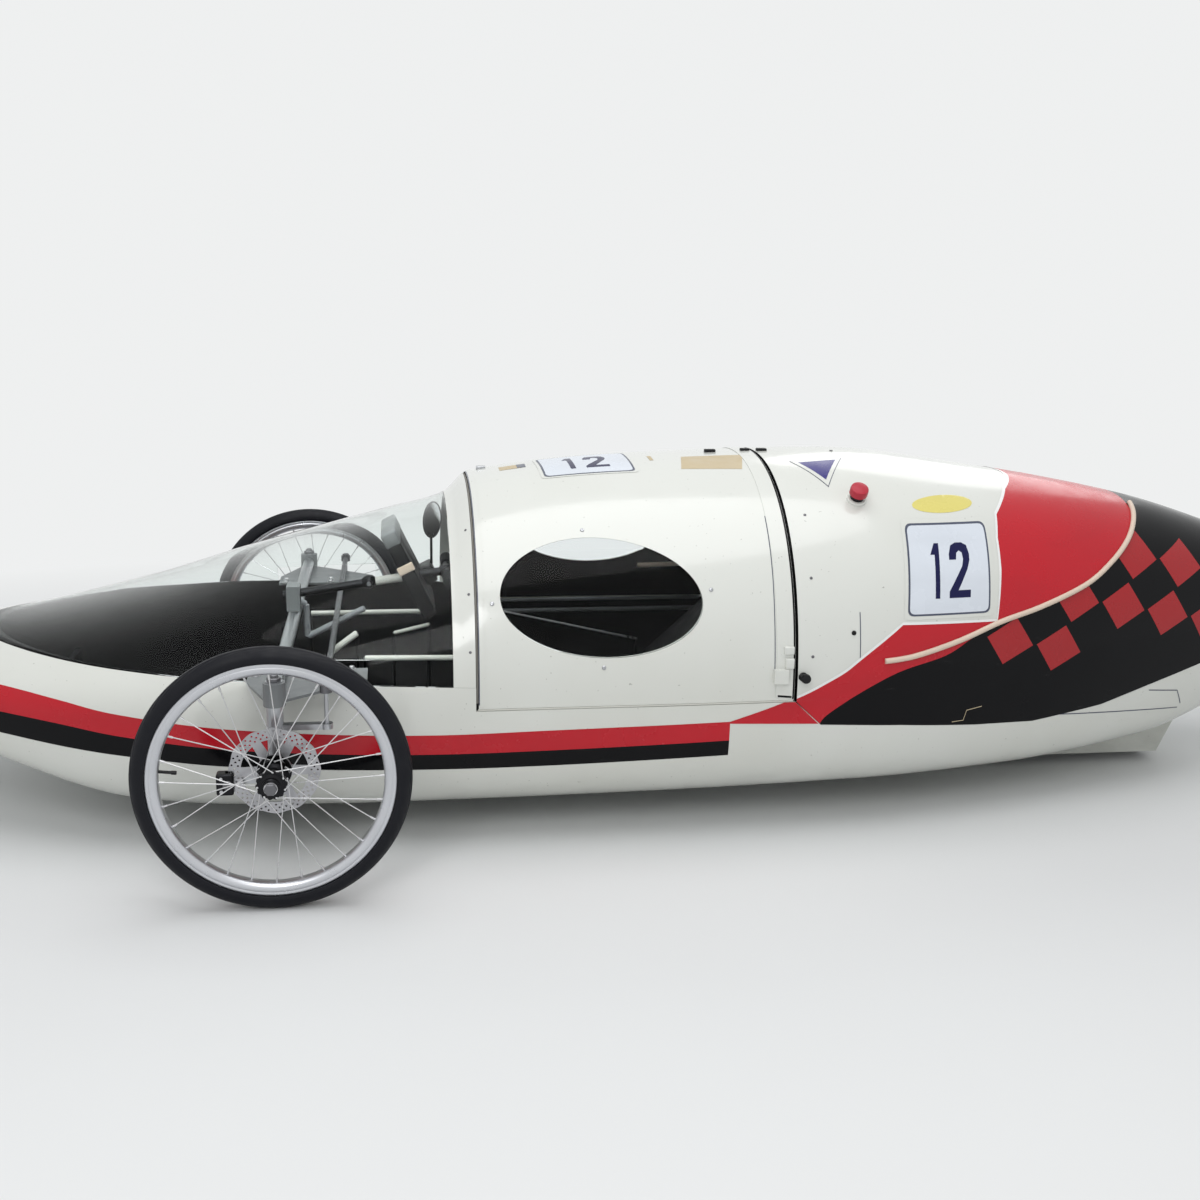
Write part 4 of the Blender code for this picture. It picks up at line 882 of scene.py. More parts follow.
def rim_section(turn):
    """(radius, offset) rows of a hollow-section rim with rounded foot and a wear line on its brake faces."""
    half = RIM_WIDTH / 2
    foot = RIM_RADIUS - RIM_DEPTH
    side = [(foot, half * 0.25), (foot + 0.0003, half * 0.45), (foot + 0.0014, half * 0.63)]
    side += [(foot + 0.0034, half * 0.79), (foot + 0.0062, half * 0.91), (foot + 0.0094, half * 0.98)]
    side += [(RIM_BED - 0.0015, half), (RIM_BED + 0.0020, half), (RIM_BED + 0.0024, half - 0.0003)]
    side += [(RIM_BED + 0.0029, half - 0.0003), (RIM_BED + 0.0033, half), (RIM_RADIUS - 0.0010, half)]
    side += [(RIM_RADIUS - 0.0002, half - 0.0004), (RIM_RADIUS, half - 0.0013), (RIM_RADIUS, half - RIM_WALL)]
    return mirrored(side + [(RIM_BED, half - RIM_WALL)])


def hub_section(half):
    """(radius, offset) rows of a waisted barrel with bearing seats at its ends."""
    bore = AXLE_RADIUS + SEAT_GAP
    waist, foot = FLANGE_RADIUS - 0.006, HUB_RADIUS - 0.002
    side = [(HUB_RADIUS - 0.001, 0.0), (HUB_RADIUS, FLANGE_OUT - 0.008), (waist, FLANGE_OUT - 0.001)]
    side += [(waist, FLANGE_OUT + 0.003), (HUB_RADIUS, FLANGE_OUT + 0.005), (HUB_RADIUS, half - 0.006)]
    side += [(foot, half - 0.005), (foot, half - 0.001), (HUB_RADIUS - 0.003, half), (bore, half)]
    return mirrored(side)[:-1]


def beside(centre, radius, angle, y):
    """A place about the wheel's axle, shifted along it."""
    x, z = polar(radius, angle)
    return Vector(centre) + Vector((x, y, z))


def spoke_ends(centre, index):
    """Where one spoke leaves its flange and meets the rim. Neighbours take turns by flange and by lean."""
    flange = 1 if index % 2 else -1
    lean = 1 if (index // 2) % 2 else -1
    angle = 2 * math.pi * index / SPOKES
    head = flange * (FLANGE_OUT + lean * (FLANGE_HALF + SPOKE_RADIUS))
    start = beside(centre, FLANGE_RADIUS - 0.003, angle + lean * SPOKE_LEAN, head)
    end = beside(centre, RIM_RADIUS - RIM_DEPTH + 0.002, angle, flange * 0.003)
    return start, end, flange * lean


def make_wheel(name, centre, body, half):
    """Tyre, rim, black hub with notched flanges, and laced spokes with their heads and nipples."""
    tyre = smooth(turned(f"{name}_casing", tyre_section, centre, RUBBER, TREAD_SEGMENTS), 25)
    settle(tyre, body, "tyre_rubber", f"tyre_{name}")
    parts = [smooth(turned("rim", rim_section, centre, RIM_ALLOY), 40)]
    parts.append(smooth(turned("hub", lambda turn: hub_section(half), centre, BLACK_ANODISED, 48)))
    lobes = SPOKES // 2
    for side in (-1, 1):
        place = Vector(centre) + LEFT * side * FLANGE_OUT
        notched = wavy(lobes * 10, FLANGE_RADIUS - 0.001, 0.0014, lobes, side)
        flange = [notched, circle(0, 0, HUB_RADIUS - 0.002, 36)]
        parts.append(pierced("flange", flange, FLANGE_HALF, place, BLACK_ANODISED))
        ring = [circle(0, 0, HUB_RADIUS - 0.0025, 36), circle(0, 0, AXLE_RADIUS + 0.0005, 24)]
        cap = place + LEFT * side * (half - FLANGE_OUT - 0.004)
        parts.append(pierced("bearing", ring, 0.0012, cap, DARK_STEEL))
    head = mm(0, 0, 1.7, 0.3, 1.9, 1, 0, 1.8)
    for index in range(SPOKES):
        start, end, outward = spoke_ends(centre, index)
        inner = end + (start - end).normalized() * 0.011
        parts.append(rod("spoke", start, end, SPOKE_RADIUS, SPOKE_STEEL, 8))
        parts.append(rod("nipple", end, inner, 0.0019, SPOKE_STEEL, 8, 0.0004))
        parts.append(lathe("head", head, start, LEFT * outward, SPOKE_STEEL, 8))
    stem = beside(centre, RIM_RADIUS - RIM_DEPTH + 0.001, 0.11, 0)
    rows = mm(2.8, 0, 2.8, 22, 3.6, 22, 3.6, 30, 2.5, 31, 0, 31)
    parts.append(lathe("valve", rows, stem, Vector(centre) - stem, BLACK_PLASTIC, 12))
    seat(f"{name}_laced_wheel", parts, body, "aluminium", f"wheel_{name}")


def make_disc(word, centre):
    """A drilled disc on six swept arms, bolted to its carrier."""
    loops = [wavy(240, DISC_RADIUS - 0.001, 0.001, 12), circle(0, 0, HUB_RADIUS + SEAT_GAP, 48)]
    outer = [(ARM_OUTER, 0.14 + 0.76 * k / 10) for k in range(11)]
    inner = [(ARM_INNER, 0.70 - 0.42 * k / 6) for k in range(7)]
    loops += [[polar(r, arm + a) for r, a in outer + inner] for arm in turns(DISC_ARMS)]
    for radius, start in HOLE_RINGS:
        shift = 2 * math.pi * start / HOLES
        loops += [circle(*polar(radius, turn + shift), HOLE_RADIUS, 10) for turn in turns(HOLES)]
    parts = [pierced("disc", loops, DISC_HALF, centre, DISC_STEEL)]
    loops = [circle(0, 0, 0.0300, 48), circle(0, 0, HUB_RADIUS + SEAT_GAP, 48)]
    loops += [circle(*polar(CARRIER_BOLT_RING, turn), 0.0022, 10) for turn in turns(CARRIER_BOLTS)]
    parts.append(pierced("carrier", loops, 0.0030, centre, BLACK_ANODISED))
    rows = mm(2.1, -4.2, 3.6, -4.2, 3.6, -3.1, 2.1, -3.1, 2.1, 4.2)
    for turn in turns(CARRIER_BOLTS):
        parts.append(lathe("bolt", rows, beside(centre, CARRIER_BOLT_RING, turn, 0), LEFT, SPOKE_STEEL, 12))
    seat(f"drilled_disc_{word}", parts, f"spin_front_{word}", "aluminium", f"brake_disc_{word}")


def make_caliper(word, centre):
    """The caliper with its slot for the disc, its bolts and its piston caps."""
    low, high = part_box(f"caliper_{word}")
    body = block("caliper_body", low, high, BLACK_ANODISED, 0.004, 4)
    reach = LEFT * 0.006
    slot = rod("slot", centre - reach, centre + reach, DISC_RADIUS + 0.005, None, 96)
    parts = [smooth(combined(body, slot, "DIFFERENCE"), 40)]
    middle = (low + high) / 2
    for dz in (-0.012, 0.012):
        for end in (-1, 1):
            spot = Vector((middle.x + 0.006, centre.y + end * CALIPER_HALF, middle.z + dz))
            sizes = (0.0032, -0.001, 0.0016, 0.0028, 0.0020)
            parts.append(capped("bolt", sizes, spot, LEFT * end, SPOKE_STEEL, 14))
    rows = mm(0, -1, 8.5, -1, 8.5, 0.8, 7.5, 1.6, 3.5, 1.6, 3, 0.8, 0, 0.8)
    for end in (-1, 1):
        spot = Vector((middle.x - 0.005, centre.y + end * CALIPER_HALF, middle.z))
        parts.append(lathe("piston_cap", rows, spot, LEFT * end, DARK_STEEL, 28))
    seat(f"brake_caliper_{word}", parts, f"steer_{word}", "black_plastic", f"caliper_{word}")


def make_wheels():
    washer_rows = mm(8.2, 0, 11.5, 0, 11.8, 1.2, 11.8, 2, 8.2, 2)
    nut_rows = mm(7.5, 2.1, 11.2, 2.1, 11.2, 7.8, 10, 8.8, 7.5, 8.8)
    for side, word in SIDES:
        centre = Vector((FRONT_X, side * TRACK / 2, WHEEL_RADIUS))
        make_wheel(f"front_{word}", centre, f"spin_front_{word}", HUB_HALF)
        disc_centre = Vector((FRONT_X, side * (TRACK / 2 - DISC_INSET), WHEEL_RADIUS))
        make_disc(word, disc_centre)
        make_caliper(word, disc_centre)
        start, out = centre + LEFT * side * (HUB_HALF + SEAT_GAP), LEFT * side
        washer = lathe("washer", washer_rows, start, out, SPOKE_STEEL, 32)
        nut = lathe("nut", nut_rows, start, out, DARK_STEEL, 6)
        seat(f"axle_nut_{word}", [washer, nut], f"steer_{word}", "aluminium")
    make_wheel("rear", (REAR_X, 0, WHEEL_RADIUS), "spin_rear", REAR_HUB_HALF)


# Livery: lines of (behind the nose, height), read off the photo and worked back onto the skin

STRIPE_END = 1.755
RED_TOP = mm(0, 318, 180, 330, 370, 318, 490, 304, 610, 284, 850, 258, 1160, 243)
RED_TOP += [(1.42, 0.246), (STRIPE_END, 0.252)]
RED_FOOT = mm(0, 290, 180, 288, 370, 271, 490, 259, 620, 241, 850, 218, 1160, 204)
RED_FOOT += [(1.42, 0.205), (STRIPE_END, 0.213)]
BLACK_FOOT = mm(0, 262, 180, 247, 370, 228, 490, 215, 620, 203, 850, 184, 1160, 172)
BLACK_FOOT += [(1.42, 0.172), (STRIPE_END, 0.181)]
SWOOSH_TOP = [(STRIPE_END, 0.252)] + mm(1830, 276, 1900, 302, 1945, 324, 1985, 346, 2018, 371, 2104, 434)
PLATE_CORNER = mm(2317, 427, 2332, 520, 2337, 580, 2351, 621, 2404, 660, 2447, 676, 2449, 720)
BLACK_TOP = mm(
    1937, 240, 1955, 260, 2021, 302, 2100, 340, 2200, 366, 2260, 396, 2330, 424, 2420, 449, 2534, 484,
    2605, 517, 2663, 552, 2705, 590, 2722, 660,
)
BEAD = mm(
    2066, 363, 2130, 370, 2230, 394, 2324, 423, 2420, 445, 2534, 480, 2605, 517, 2663, 556, 2705, 594,
    2722, 614,
)
BLACK_LOW = mm(
    1939, 236, 2108, 228, 2281, 212, 2418, 202, 2594, 221, 2721, 251, 2851, 281, 3100, 340, 3380, 410,
)
BODY_TOP = 0.9
DIAMOND_START = (2.3485, 0.3825)
DIAMOND_ALONG = (0.119, -0.025)
DIAMOND_UP = (0.163, 0.073)
DIAMOND_MARGIN = 0.045
DIAMOND_HALF = ((0.055, -0.013), (0.0155, 0.046))
# Diamonds by row and column on the lattice
DIAMOND_COLUMNS = [(0, 1), (0, 1, 2, 3), (0, 1, 2, 3), (1, 2, 3)]
DIAMONDS = [(row, column) for row, columns in enumerate(DIAMOND_COLUMNS) for column in columns]


def film_both(name, outline, layer, look, within=None):
    for side, word in SIDES:
        settle(film(f"{name}_{word}", outline, layer, look, side, within), "root", "white_paint")


def make_stripes():
    top, foot, low = curve_through(RED_TOP), curve_through(RED_FOOT), curve_through(BLACK_FOOT)
    film_both("red_stripe", top + foot[::-1], 1, RED_FILM)
    film_both("black_stripe", foot + low[::-1], 1, BLACK_FILM)


def make_swoosh():
    black = curve_through(BLACK_TOP)
    roof = [(black[-1][0], BODY_TOP), (PLATE_CORNER[-1][0], BODY_TOP)]
    red = curve_through(SWOOSH_TOP) + PLATE_CORNER + roof[::-1] + black[::-1] + [(STRIPE_END, 0.248)]
    film_both("red_swoosh", red, 1, RED_FILM, within=cover_region())
    front, rear = STRIPE_END - BEYOND, TAIL_PANEL_FRONT
    below = [(front, 0), (rear, 0), (rear, tail_seam_z(rear))]
    below += [row for row in TAIL_SEAM if row[0] < rear][::-1] + [(front, HATCH_SEAM_Z)]
    low = [(place, z - RUNNING_GAP / 2) for place, z in below]
    film_both("red_swoosh_low", red, 1, RED_FILM, within=low)
    tail = [(BODY_LENGTH, BODY_TOP), (BODY_LENGTH, 0.40)] + BLACK_LOW[::-1]
    film_both("black_tail", black + [(black[-1][0], BODY_TOP)] + tail, 1, BLACK_FILM, within=cover_region())


def make_diamonds():
    """Dark red diamonds on a slanted lattice, kept behind the cream line and off the top of the back."""
    above, below = BODY_TOP, 0.15
    limit = curve_through(BEAD) + [(2.73, above), (BODY_LENGTH, above)]
    limit += [(BODY_LENGTH, below), (BEAD[0][0], below)]
    start, across, up = (np.array(item) for item in (DIAMOND_START, DIAMOND_ALONG, DIAMOND_UP))
    a, b = (np.array(half) for half in DIAMOND_HALF)
    for side, word in SIDES:
        pieces = []
        for row, column in DIAMONDS:
            centre = start + row * up + column * across
            if centre[1] > section_at(centre[0])[2] - DIAMOND_MARGIN:
                continue
            outline = [tuple(centre + way) for way in (-a, b, a, -b)]
            piece = film(f"diamond_{row}_{column}", outline, 2, DARK_RED_FILM, side, limit)
            if len(piece.data.polygons):
                pieces.append(piece)
            else:
                bpy.data.objects.remove(piece)
        seat(f"diamonds_{word}", pieces, "root", "white_paint")


def rounded(corners, radius, steps=5):
    """The corners of a quadrilateral, each rounded with an arc."""
    line = []
    count = len(corners)
    for i in range(count):
        before, here, after = (np.array(corners[(i + k) % count]) for k in (-1, 0, 1))
        start = here + (before - here) / np.linalg.norm(before - here) * radius
        end = here + (after - here) / np.linalg.norm(after - here) * radius
        for s in range(steps + 1):
            t = s / steps
            point = (1 - t) ** 2 * start + 2 * t * (1 - t) * here + t * t * end
            line.append((float(point[0]), float(point[1])))
    return line


def on_plate(plate, u, v):
    """(behind the nose, height) of a place on a slanted plate: low front corner, along, up."""
    start, across, up = (np.array(item) for item in plate)
    return tuple(start + u * across + v * up)


ONE = [(0.0, 0.80), (0.30, 1.0), (0.62, 1.0), (0.62, 0.0), (0.30, 0.0), (0.30, 0.80)]
TWO = [(0.02, 0.70), (0.02, 0.80), (0.12, 0.95), (0.35, 1.0), (0.65, 1.0), (0.88, 0.95), (0.98, 0.80)]
TWO += [(0.98, 0.68), (0.86, 0.52), (0.42, 0.14), (1.0, 0.14), (1.0, 0.0), (0.0, 0.0), (0.0, 0.12)]
TWO += [(0.62, 0.58), (0.68, 0.70), (0.64, 0.82), (0.50, 0.86), (0.38, 0.82), (0.34, 0.70)]
NUMBER_PLATE = ((2.114, 0.447), (0.186, -0.004), (0.016, 0.167))


def plate_films(plate, borders, side):
    """Rounded films on a slanted plate, each grown by a share of its size."""
    films = []
    for layer, (grow, radius, look) in enumerate(borders, 2):
        square = rectangle(-grow, 1 + grow, -grow, 1 + grow)
        corners = [on_plate(plate, u, v) for u, v in square]
        films.append(film("plate", rounded(corners, radius), layer, look, side))
    return films


def digit_films(plate, glyphs, foot, height, side):
    """The number on a slanted plate, set the other way round on the right side."""
    films = []
    for glyph, start, width in glyphs:
        spots = [(start + u * width, foot + v * height) for u, v in glyph]
        if side < 0:
            spots = [(1 - u, v) for u, v in spots]
        films.append(film("digit", [on_plate(plate, u, v) for u, v in spots], 5, NAVY_FILM, side))
    return films


def make_number_plate():
    borders = ((0.04, 0.006, WHITE), (0.0, 0.014, LINE_FILM), (-0.022, 0.012, PLATE_FILM))
    glyphs = ((ONE, 0.27, 0.17), (TWO, 0.49, 0.26))
    for side, word in SIDES:
        pieces = plate_films(NUMBER_PLATE, borders, side)
        pieces += digit_films(NUMBER_PLATE, glyphs, 0.19, 0.60, side)
        seat(f"number_plate_{word}", pieces, "root", "white_paint")


def make_bead():
    """The raised cream trim line between the red and the black."""
    line = curve_through(BEAD, 6)
    for side, word in SIDES:
        points = [on_skin(place, z, side, 0.003)[0] for place, z in line]
        settle(tube(f"cream_bead_{word}", points, 0.0055, CREAM), "root", "white_paint")


# Fittings of the body: (behind the nose, height) places, read off the photo and worked back onto the skin

HINGE_PLACES = (1.40, 1.75)
HINGE_RADIUS, HINGE_LENGTH, HINGE_PIN, HINGE_OUT = 0.007, 0.030, 0.003, 0.0105
LEAF_LAP, LEAF_RISE = 0.002, 0.030
SEAL_RADIUS = 0.004
THIN_SEAL = 0.0022
FLANGE_LIFT = 0.0010
FLANGE_STRIPS = [
    (1.8440, 1.8775, 0.008, WHITE, FLANGE_LIFT),
    (1.8775, 1.8813, 0.004, BLACK_FILM, FILM),
    (1.2672, 1.2690, 0.010, LINE_FILM, FILM),
    (1.2690, 1.2790, 0.008, WHITE, FLANGE_LIFT),
]
FLANGE_LINE = mm(1843.3, 630, 1842, 540, 1840.5, 450, 1840.5, 330)
FLANGE_SLOT = mm(1848, 303.5, 1876, 300.5, 1876, 296.5, 1848, 299.5)
HOOP_SCREWS = mm(1252, 600, 1252, 500, 1252, 400)
WINDOW_SCREWS = mm(1476, 607, 1295, 485, 1505, 367, 1717, 506)
TAIL_SCREWS = mm(1926, 631, 1919, 523, 1917, 377)
SEAM_LINE = mm(2014.5, 367, 2014.5, 459)
SEAM_SCREW = (2.001, 0.420)
LATCH_BLOCKS = [(1.858, 1.878, 0.384, 0.400), (1.861, 1.878, 0.356, 0.377)]
LATCH_KNOB = (1.8985, 0.338)
ROOF_PLATE = ((1.420, 0.120), (0.188, 0.006), (-0.004, -0.166))
TRIANGLE = mm(1955, 114, 2040, 99, 1994, 189)
ROOF_CATCHES = [
    (1.300, -0.060, 0.010, ALLOY),
    (1.790, 0.000, 0.012, BLACK_PLASTIC),
    (1.866, 0.004, 0.010, BLACK_PLASTIC),
]
ROOF_TAPES = [
    (mm(1703, 126, 1829, 138, 1850, 48, 1718, 44), 1, TAPE_FILM),
    (mm(1335, -20, 1378, -16, 1378, 26, 1335, 22), 1, TAPE_FILM),
    (mm(1372, -16, 1390, -14, 1390, 24, 1372, 24), 2, LINE_FILM),
    (mm(1648, 20, 1656, 20, 1656, 62, 1648, 62), 1, TAPE_FILM),
]
OVAL_MIDDLE, OVAL_HALF = (2.232, 0.6425), (0.072, 0.0145)
BUTTON_PLACE, BUTTON_RADIUS, BUTTON_HEIGHT = (2.042, 0.655), 0.020, 0.034
SCRATCH = mm(2225, 224, 2251, 225, 2257, 246, 2292, 251)
FLAP_LINES = [mm(2489, 211, 2818, 181), mm(2721, 237, 2803, 226, 2823, 191)]


def make_hinges():
    """The hatch's two barrels at each hinge, on leaves with a rivet each, bored for the fixed pins."""
    middle = (HINGE_PLACES[0] + HINGE_PLACES[1]) / 2
    y, z = -(skin_y(middle, HATCH_SEAM_Z) + HINGE_OUT), HATCH_SEAM_Z
    parts = []
    for place in HINGE_PLACES:
        for end in (-1, 1):
            near = along(place) + end * (HINGE_LENGTH / 2 + SEAT_GAP)
            far = near + end * HINGE_LENGTH / 2
            low, high = min(near, far), max(near, far)
            barrel = rod("barrel", (low, y, z), (high, y, z), HINGE_RADIUS, ALLOY, 32, 0.0006)
            before, after = low - HINGE_LENGTH, high + HINGE_LENGTH
            bore = rod("bore", (before, y, z), (after, y, z), HINGE_PIN + SEAT_GAP, None, 24)
            parts.append(combined(barrel, bore, "DIFFERENCE"))
            skin = -skin_y(place, z + LEAF_RISE) + WALL / 2
            start, end = (low, y + 0.004, z + LEAF_LAP), (high, skin, z + LEAF_RISE)
            parts.append(block("leaf", start, end, ALLOY, 0.0008))
            spot = ((low + high) / 2, y + 0.004, z + 0.021)
            rows = mm(0, -1, 3.4, -1, 2.8, 1, 0, 1.4)
            parts.append(lathe("rivet", rows, spot, -LEFT, ALLOY, 16))
    seat("hatch_hinge_lugs", parts, "hatch", "white_paint")


def make_seals():
    """Rubber in the seams round the hatch: pale below it, grey at the hoop and black at its rear."""
    for side, word in SIDES:
        places = [HOOP_REAR + 0.004 + (HATCH_REAR - HOOP_REAR - 0.006) * i / 24 for i in range(25)]
        line = [at(place, side * (skin_y(place, HATCH_SEAM_Z) - 0.0020), HATCH_SEAM_Z) for place in places]
        settle(tube(f"seam_seal_{word}", line, THIN_SEAL, PALE_SEAL), "root", "black_plastic")
    angles = [math.radians(2 + 176 * i / 60) for i in range(61)]
    for name, place, depth, radius, look in (
        ("hoop_seal", HOOP_REAR + RUNNING_GAP / 2, 0.0045, THIN_SEAL, GREY_SEAL),
        ("hatch_rear_seal", HATCH_REAR + RUNNING_GAP / 2, WALL + SEAL_RADIUS + 0.0008, SEAL_RADIUS, SEAL),
    ):
        line = [skin_point(place, angle, depth) for angle in angles]
        settle(tube(name, line, radius, look), "root", "black_plastic")


def make_flanges():
    """The raised band at the hatch's rear edge, its line, and the dark edge beside the gap."""
    for side, word in SIDES:
        parts = []
        for front, rear, rise, look, thick in FLANGE_STRIPS:
            strip = rectangle(front, rear, HATCH_SEAM_Z + rise, HIGH)
            parts.append(film("strip", strip, 1, look, side, thickness=thick))
        line = ribbon(curve_through(FLANGE_LINE, 4), 0.0016)
        parts.insert(2, film("line", line, 1, LINE_FILM, side))
        parts.append(film("foot_slot", FLANGE_SLOT, 5, BLACK_FILM, side))
        seat(f"hatch_flange_{word}", parts, "hatch", "white_paint")


def studs(places, radius, rise, look, side):
    """Domed screw heads with a socket, standing on the skin."""
    heads = []
    for place, z in places:
        spot, out = on_skin(place, z, side)
        rows = [(0, -0.0006), (radius, -0.0006), (radius, rise * 0.35), (radius * 0.72, rise * 0.85)]
        rows += [(radius * 0.3, rise), (radius * 0.25, rise * 0.55), (0, rise * 0.5)]
        heads.append(lathe("screw", rows, spot, out, look, 20))
    return heads


def make_screws():
    for side, word in SIDES:
        shift = WINDOW_RIGHT - WINDOW_LEFT if side < 0 else 0
        places = [(place + shift, z) for place, z in WINDOW_SCREWS]
        seat(f"window_screws_{word}", studs(places, 0.0042, 0.0024, ALLOY, side), "hatch", "aluminium")
        heads = studs(TAIL_SCREWS, 0.0030, 0.0016, DARK_STEEL, side)
        heads += studs([SEAM_SCREW], 0.0048, 0.0026, BLACK_PLASTIC, side)
        heads += studs(HOOP_SCREWS, 0.0026, 0.0014, DARK_STEEL, side)
        seat(f"panel_screws_{word}", heads, "root", "aluminium")
        line = film(f"tail_seam_line_{word}", ribbon(SEAM_LINE, 0.0018), 1, LINE_FILM, side)
        settle(line, "root", "white_paint")


def make_latch():
    """The latch's two keeper blocks on the hatch's left, and its black knob on the tail cover."""
    blocks = []
    for front, rear, low, high in LATCH_BLOCKS:
        y = skin_y((front + rear) / 2, (low + high) / 2)
        start, end = (along(rear), y - 0.002, low), (along(front), y + 0.0085, high)
        blocks.append(block("keeper", start, end, WHITE, 0.002, 3))
    seat("latch_keepers", blocks, "hatch", "white_paint")
    spot, out = on_skin(*LATCH_KNOB)
    rows = mm(0, -1, 9, -1, 9, 3, 5.5, 5, 5.5, 10, 8.8, 12, 9.8, 17, 8.6, 22, 4, 23.8, 0, 24)
    knob = lathe("knob", rows, spot, out, BLACK_PLASTIC, 36)
    low, high = spot + Vector((-0.004, -0.004, -0.004)), spot + Vector((0.0095, 0.006, 0.004))
    tongue = block("tongue", low, high, BLACK_PLASTIC, 0.0012)
    seat("latch_knob", [knob, tongue], "root", "black_plastic")


def catch(place, y, half, low_y, high_y, rise, look):
    """A small block on the roof's middle."""
    z, x = skin_z(place, y), along(place)
    return block("catch", (x - half, low_y, z - 0.003), (x + half, high_y, z + rise), look, 0.0014)


def make_roof():
    """Number plate, tape and small catches on the roof, and the plain triangle behind them."""
    borders = ((0.035, 0.012, WHITE), (0.0, 0.012, LINE_FILM), (-0.022, 0.012, PLATE_FILM))
    pieces = plate_films(ROOF_PLATE, borders, 0)
    pieces += digit_films(ROOF_PLATE, ((ONE, 0.26, 0.18), (TWO, 0.49, 0.26)), 0.20, 0.58, 0)
    for outline, layer, look in ROOF_TAPES:
        pieces.append(film("tape", outline, layer, look, 0))
    seat("roof_plate_and_tape", pieces, "hatch", "white_paint")
    middle = np.mean(TRIANGLE, axis=0)
    pieces = []
    for size, layer, look in ((1.42, 1, LINE_FILM), (1.36, 2, WHITE), (1.0, 3, BLUE_FILM)):
        corners = [tuple(middle + (np.array(corner) - middle) * size) for corner in TRIANGLE]
        pieces.append(film("triangle", corners, layer, look, 0))
    seat("plain_triangle", pieces, "root", "white_paint")
    catches = []
    for place, y, half, look in ROOF_CATCHES:
        catches.append(catch(place, y, half, y - 0.006, y + 0.006, 0.006, look))
    seat("roof_catches", catches, "hatch", "black_plastic")
    rear = catch(1.903, 0.004, 0.011, -0.003, 0.011, 0.005, BLACK_PLASTIC)
    place, y = 2.054, 0.022
    rows = mm(0, -2, 4, -2, 3.4, 1.8, 0, 2.2)
    screw = lathe("screw", rows, at(place, y, skin_z(place, y)), UP, DARK_STEEL, 16)
    seat("roof_catch_rear", [rear, screw], "root", "black_plastic")


def make_tail_marks():
    """Yellow oval, a painted highlight along the red's top edge, crack in the black film and the tail panel's
    lines.
    """
    (x, z), (half_x, half_z) = OVAL_MIDDLE, OVAL_HALF
    oval = [(x + half_x * math.cos(turn), z + half_z * math.sin(turn)) for turn in turns(48)]
    settle(film("yellow_oval", oval, 1, YELLOW_FILM), "root", "white_paint")
    settle(film("film_crack", ribbon(SCRATCH, 0.0016), 2, TAPE_FILM), "root", "white_paint")
    # The white ribbon along the swoosh's top edge and the plate's corner is a painted highlight of the red
    # film's edge.
    edge = curve_through(SWOOSH_TOP, 4) + PLATE_CORNER
    film_both("swoosh_edge_highlight", ribbon(edge, 0.0050), 2, EDGE_HIGHLIGHT_FILM, within=cover_region())
    for i, line in enumerate(FLAP_LINES):
        film_both(f"flap_line_{i + 1}", ribbon(line, 0.0022), 1, LINE_FILM)


def make_button():
    """The red mushroom stop button in its dark collar and white base."""
    spot, out = on_skin(*BUTTON_PLACE)
    r, h = BUTTON_RADIUS, BUTTON_HEIGHT
    base = capped("base", (r, -0.004, 0.003, r * 0.9, 0.006), spot, out, WHITE, 40)
    collar = capped("collar", (r * 0.70, 0.005, 0.011, r * 0.62, 0.0165), spot, out, BLACK_PLASTIC, 40)
    rows = [(0, 0.016), (r * 0.84, 0.016), (r * 0.93, 0.0175), (r * 0.93, h * 0.86), (r * 0.88, h * 0.95)]
    rows += [(r * 0.74, h), (0, h * 1.01)]
    cap = lathe("cap", rows, spot, out, RED_PLASTIC, 48)
    seat("mushroom_button", [base, collar, cap], "root", "red_plastic", "stop_button")


# Cockpit

BOARD_TOP, BOARD_FOOT, BOARD_THICKNESS, BOARD_HALF_WIDTH = (1.100, 0.560), (1.185, 0.385), 0.030, 0.090
COLUMN_FRONT, COLUMN_REAR, COLUMN_RADIUS = (0.878, 0.412), (1.225, 0.462), 0.009
GRIP_HALF, GRIP_RADIUS, GRIP_RIBS, RIB_DEPTH = 0.120, 0.013, 22, 0.0009
MIRROR_PLACE, MIRROR_Y, MIRROR_RADIUS, MIRROR_TURN = (1.192, 0.563), -0.045, 0.039, math.radians(30.0)

# Gauge, switches and lamp: place up the board and to the left, radius, height and look
DIALS = [
    (-0.002, 0.060, 0.017, 0.013, BLACK_PLASTIC),
    (-0.002, 0.060, 0.0135, 0.0136, MIRROR_GLASS),
    (-0.036, 0.072, 0.008, 0.012, DARK_STEEL),
    (-0.036, 0.052, 0.008, 0.012, DARK_STEEL),
    (-0.060, 0.072, 0.005, 0.016, RED_PLASTIC),
]
SWITCHES = [(-0.012, 0.004, 0.010, DARK_STEEL), (-0.034, 0.006, 0.0045, ALLOY)]
GUSSET_BOLTS = mm(45, 52, 45, 85, -60, 52, -60, 85, -130, 52)
BEAM_HALF = 0.300
GUSSET_REAR, GUSSET_THICKNESS = 0.060, 0.005
STEERING_ARM = 0.090


def column_ends():
    return at(COLUMN_FRONT[0], 0, COLUMN_FRONT[1]), at(COLUMN_REAR[0], 0, COLUMN_REAR[1])


def board_frame():
    """The board's own axes (up its face, left, out of its rear side) as one matrix, and its half height."""
    top, foot = at(BOARD_TOP[0], 0, BOARD_TOP[1]), at(BOARD_FOOT[0], 0, BOARD_FOOT[1])
    up = (top - foot).normalized()
    turn = Matrix((up, LEFT, Vector((-up.z, 0, up.x)))).transposed().to_4x4()
    turn.translation = (top + foot) / 2
    return turn, (top - foot).length / 2


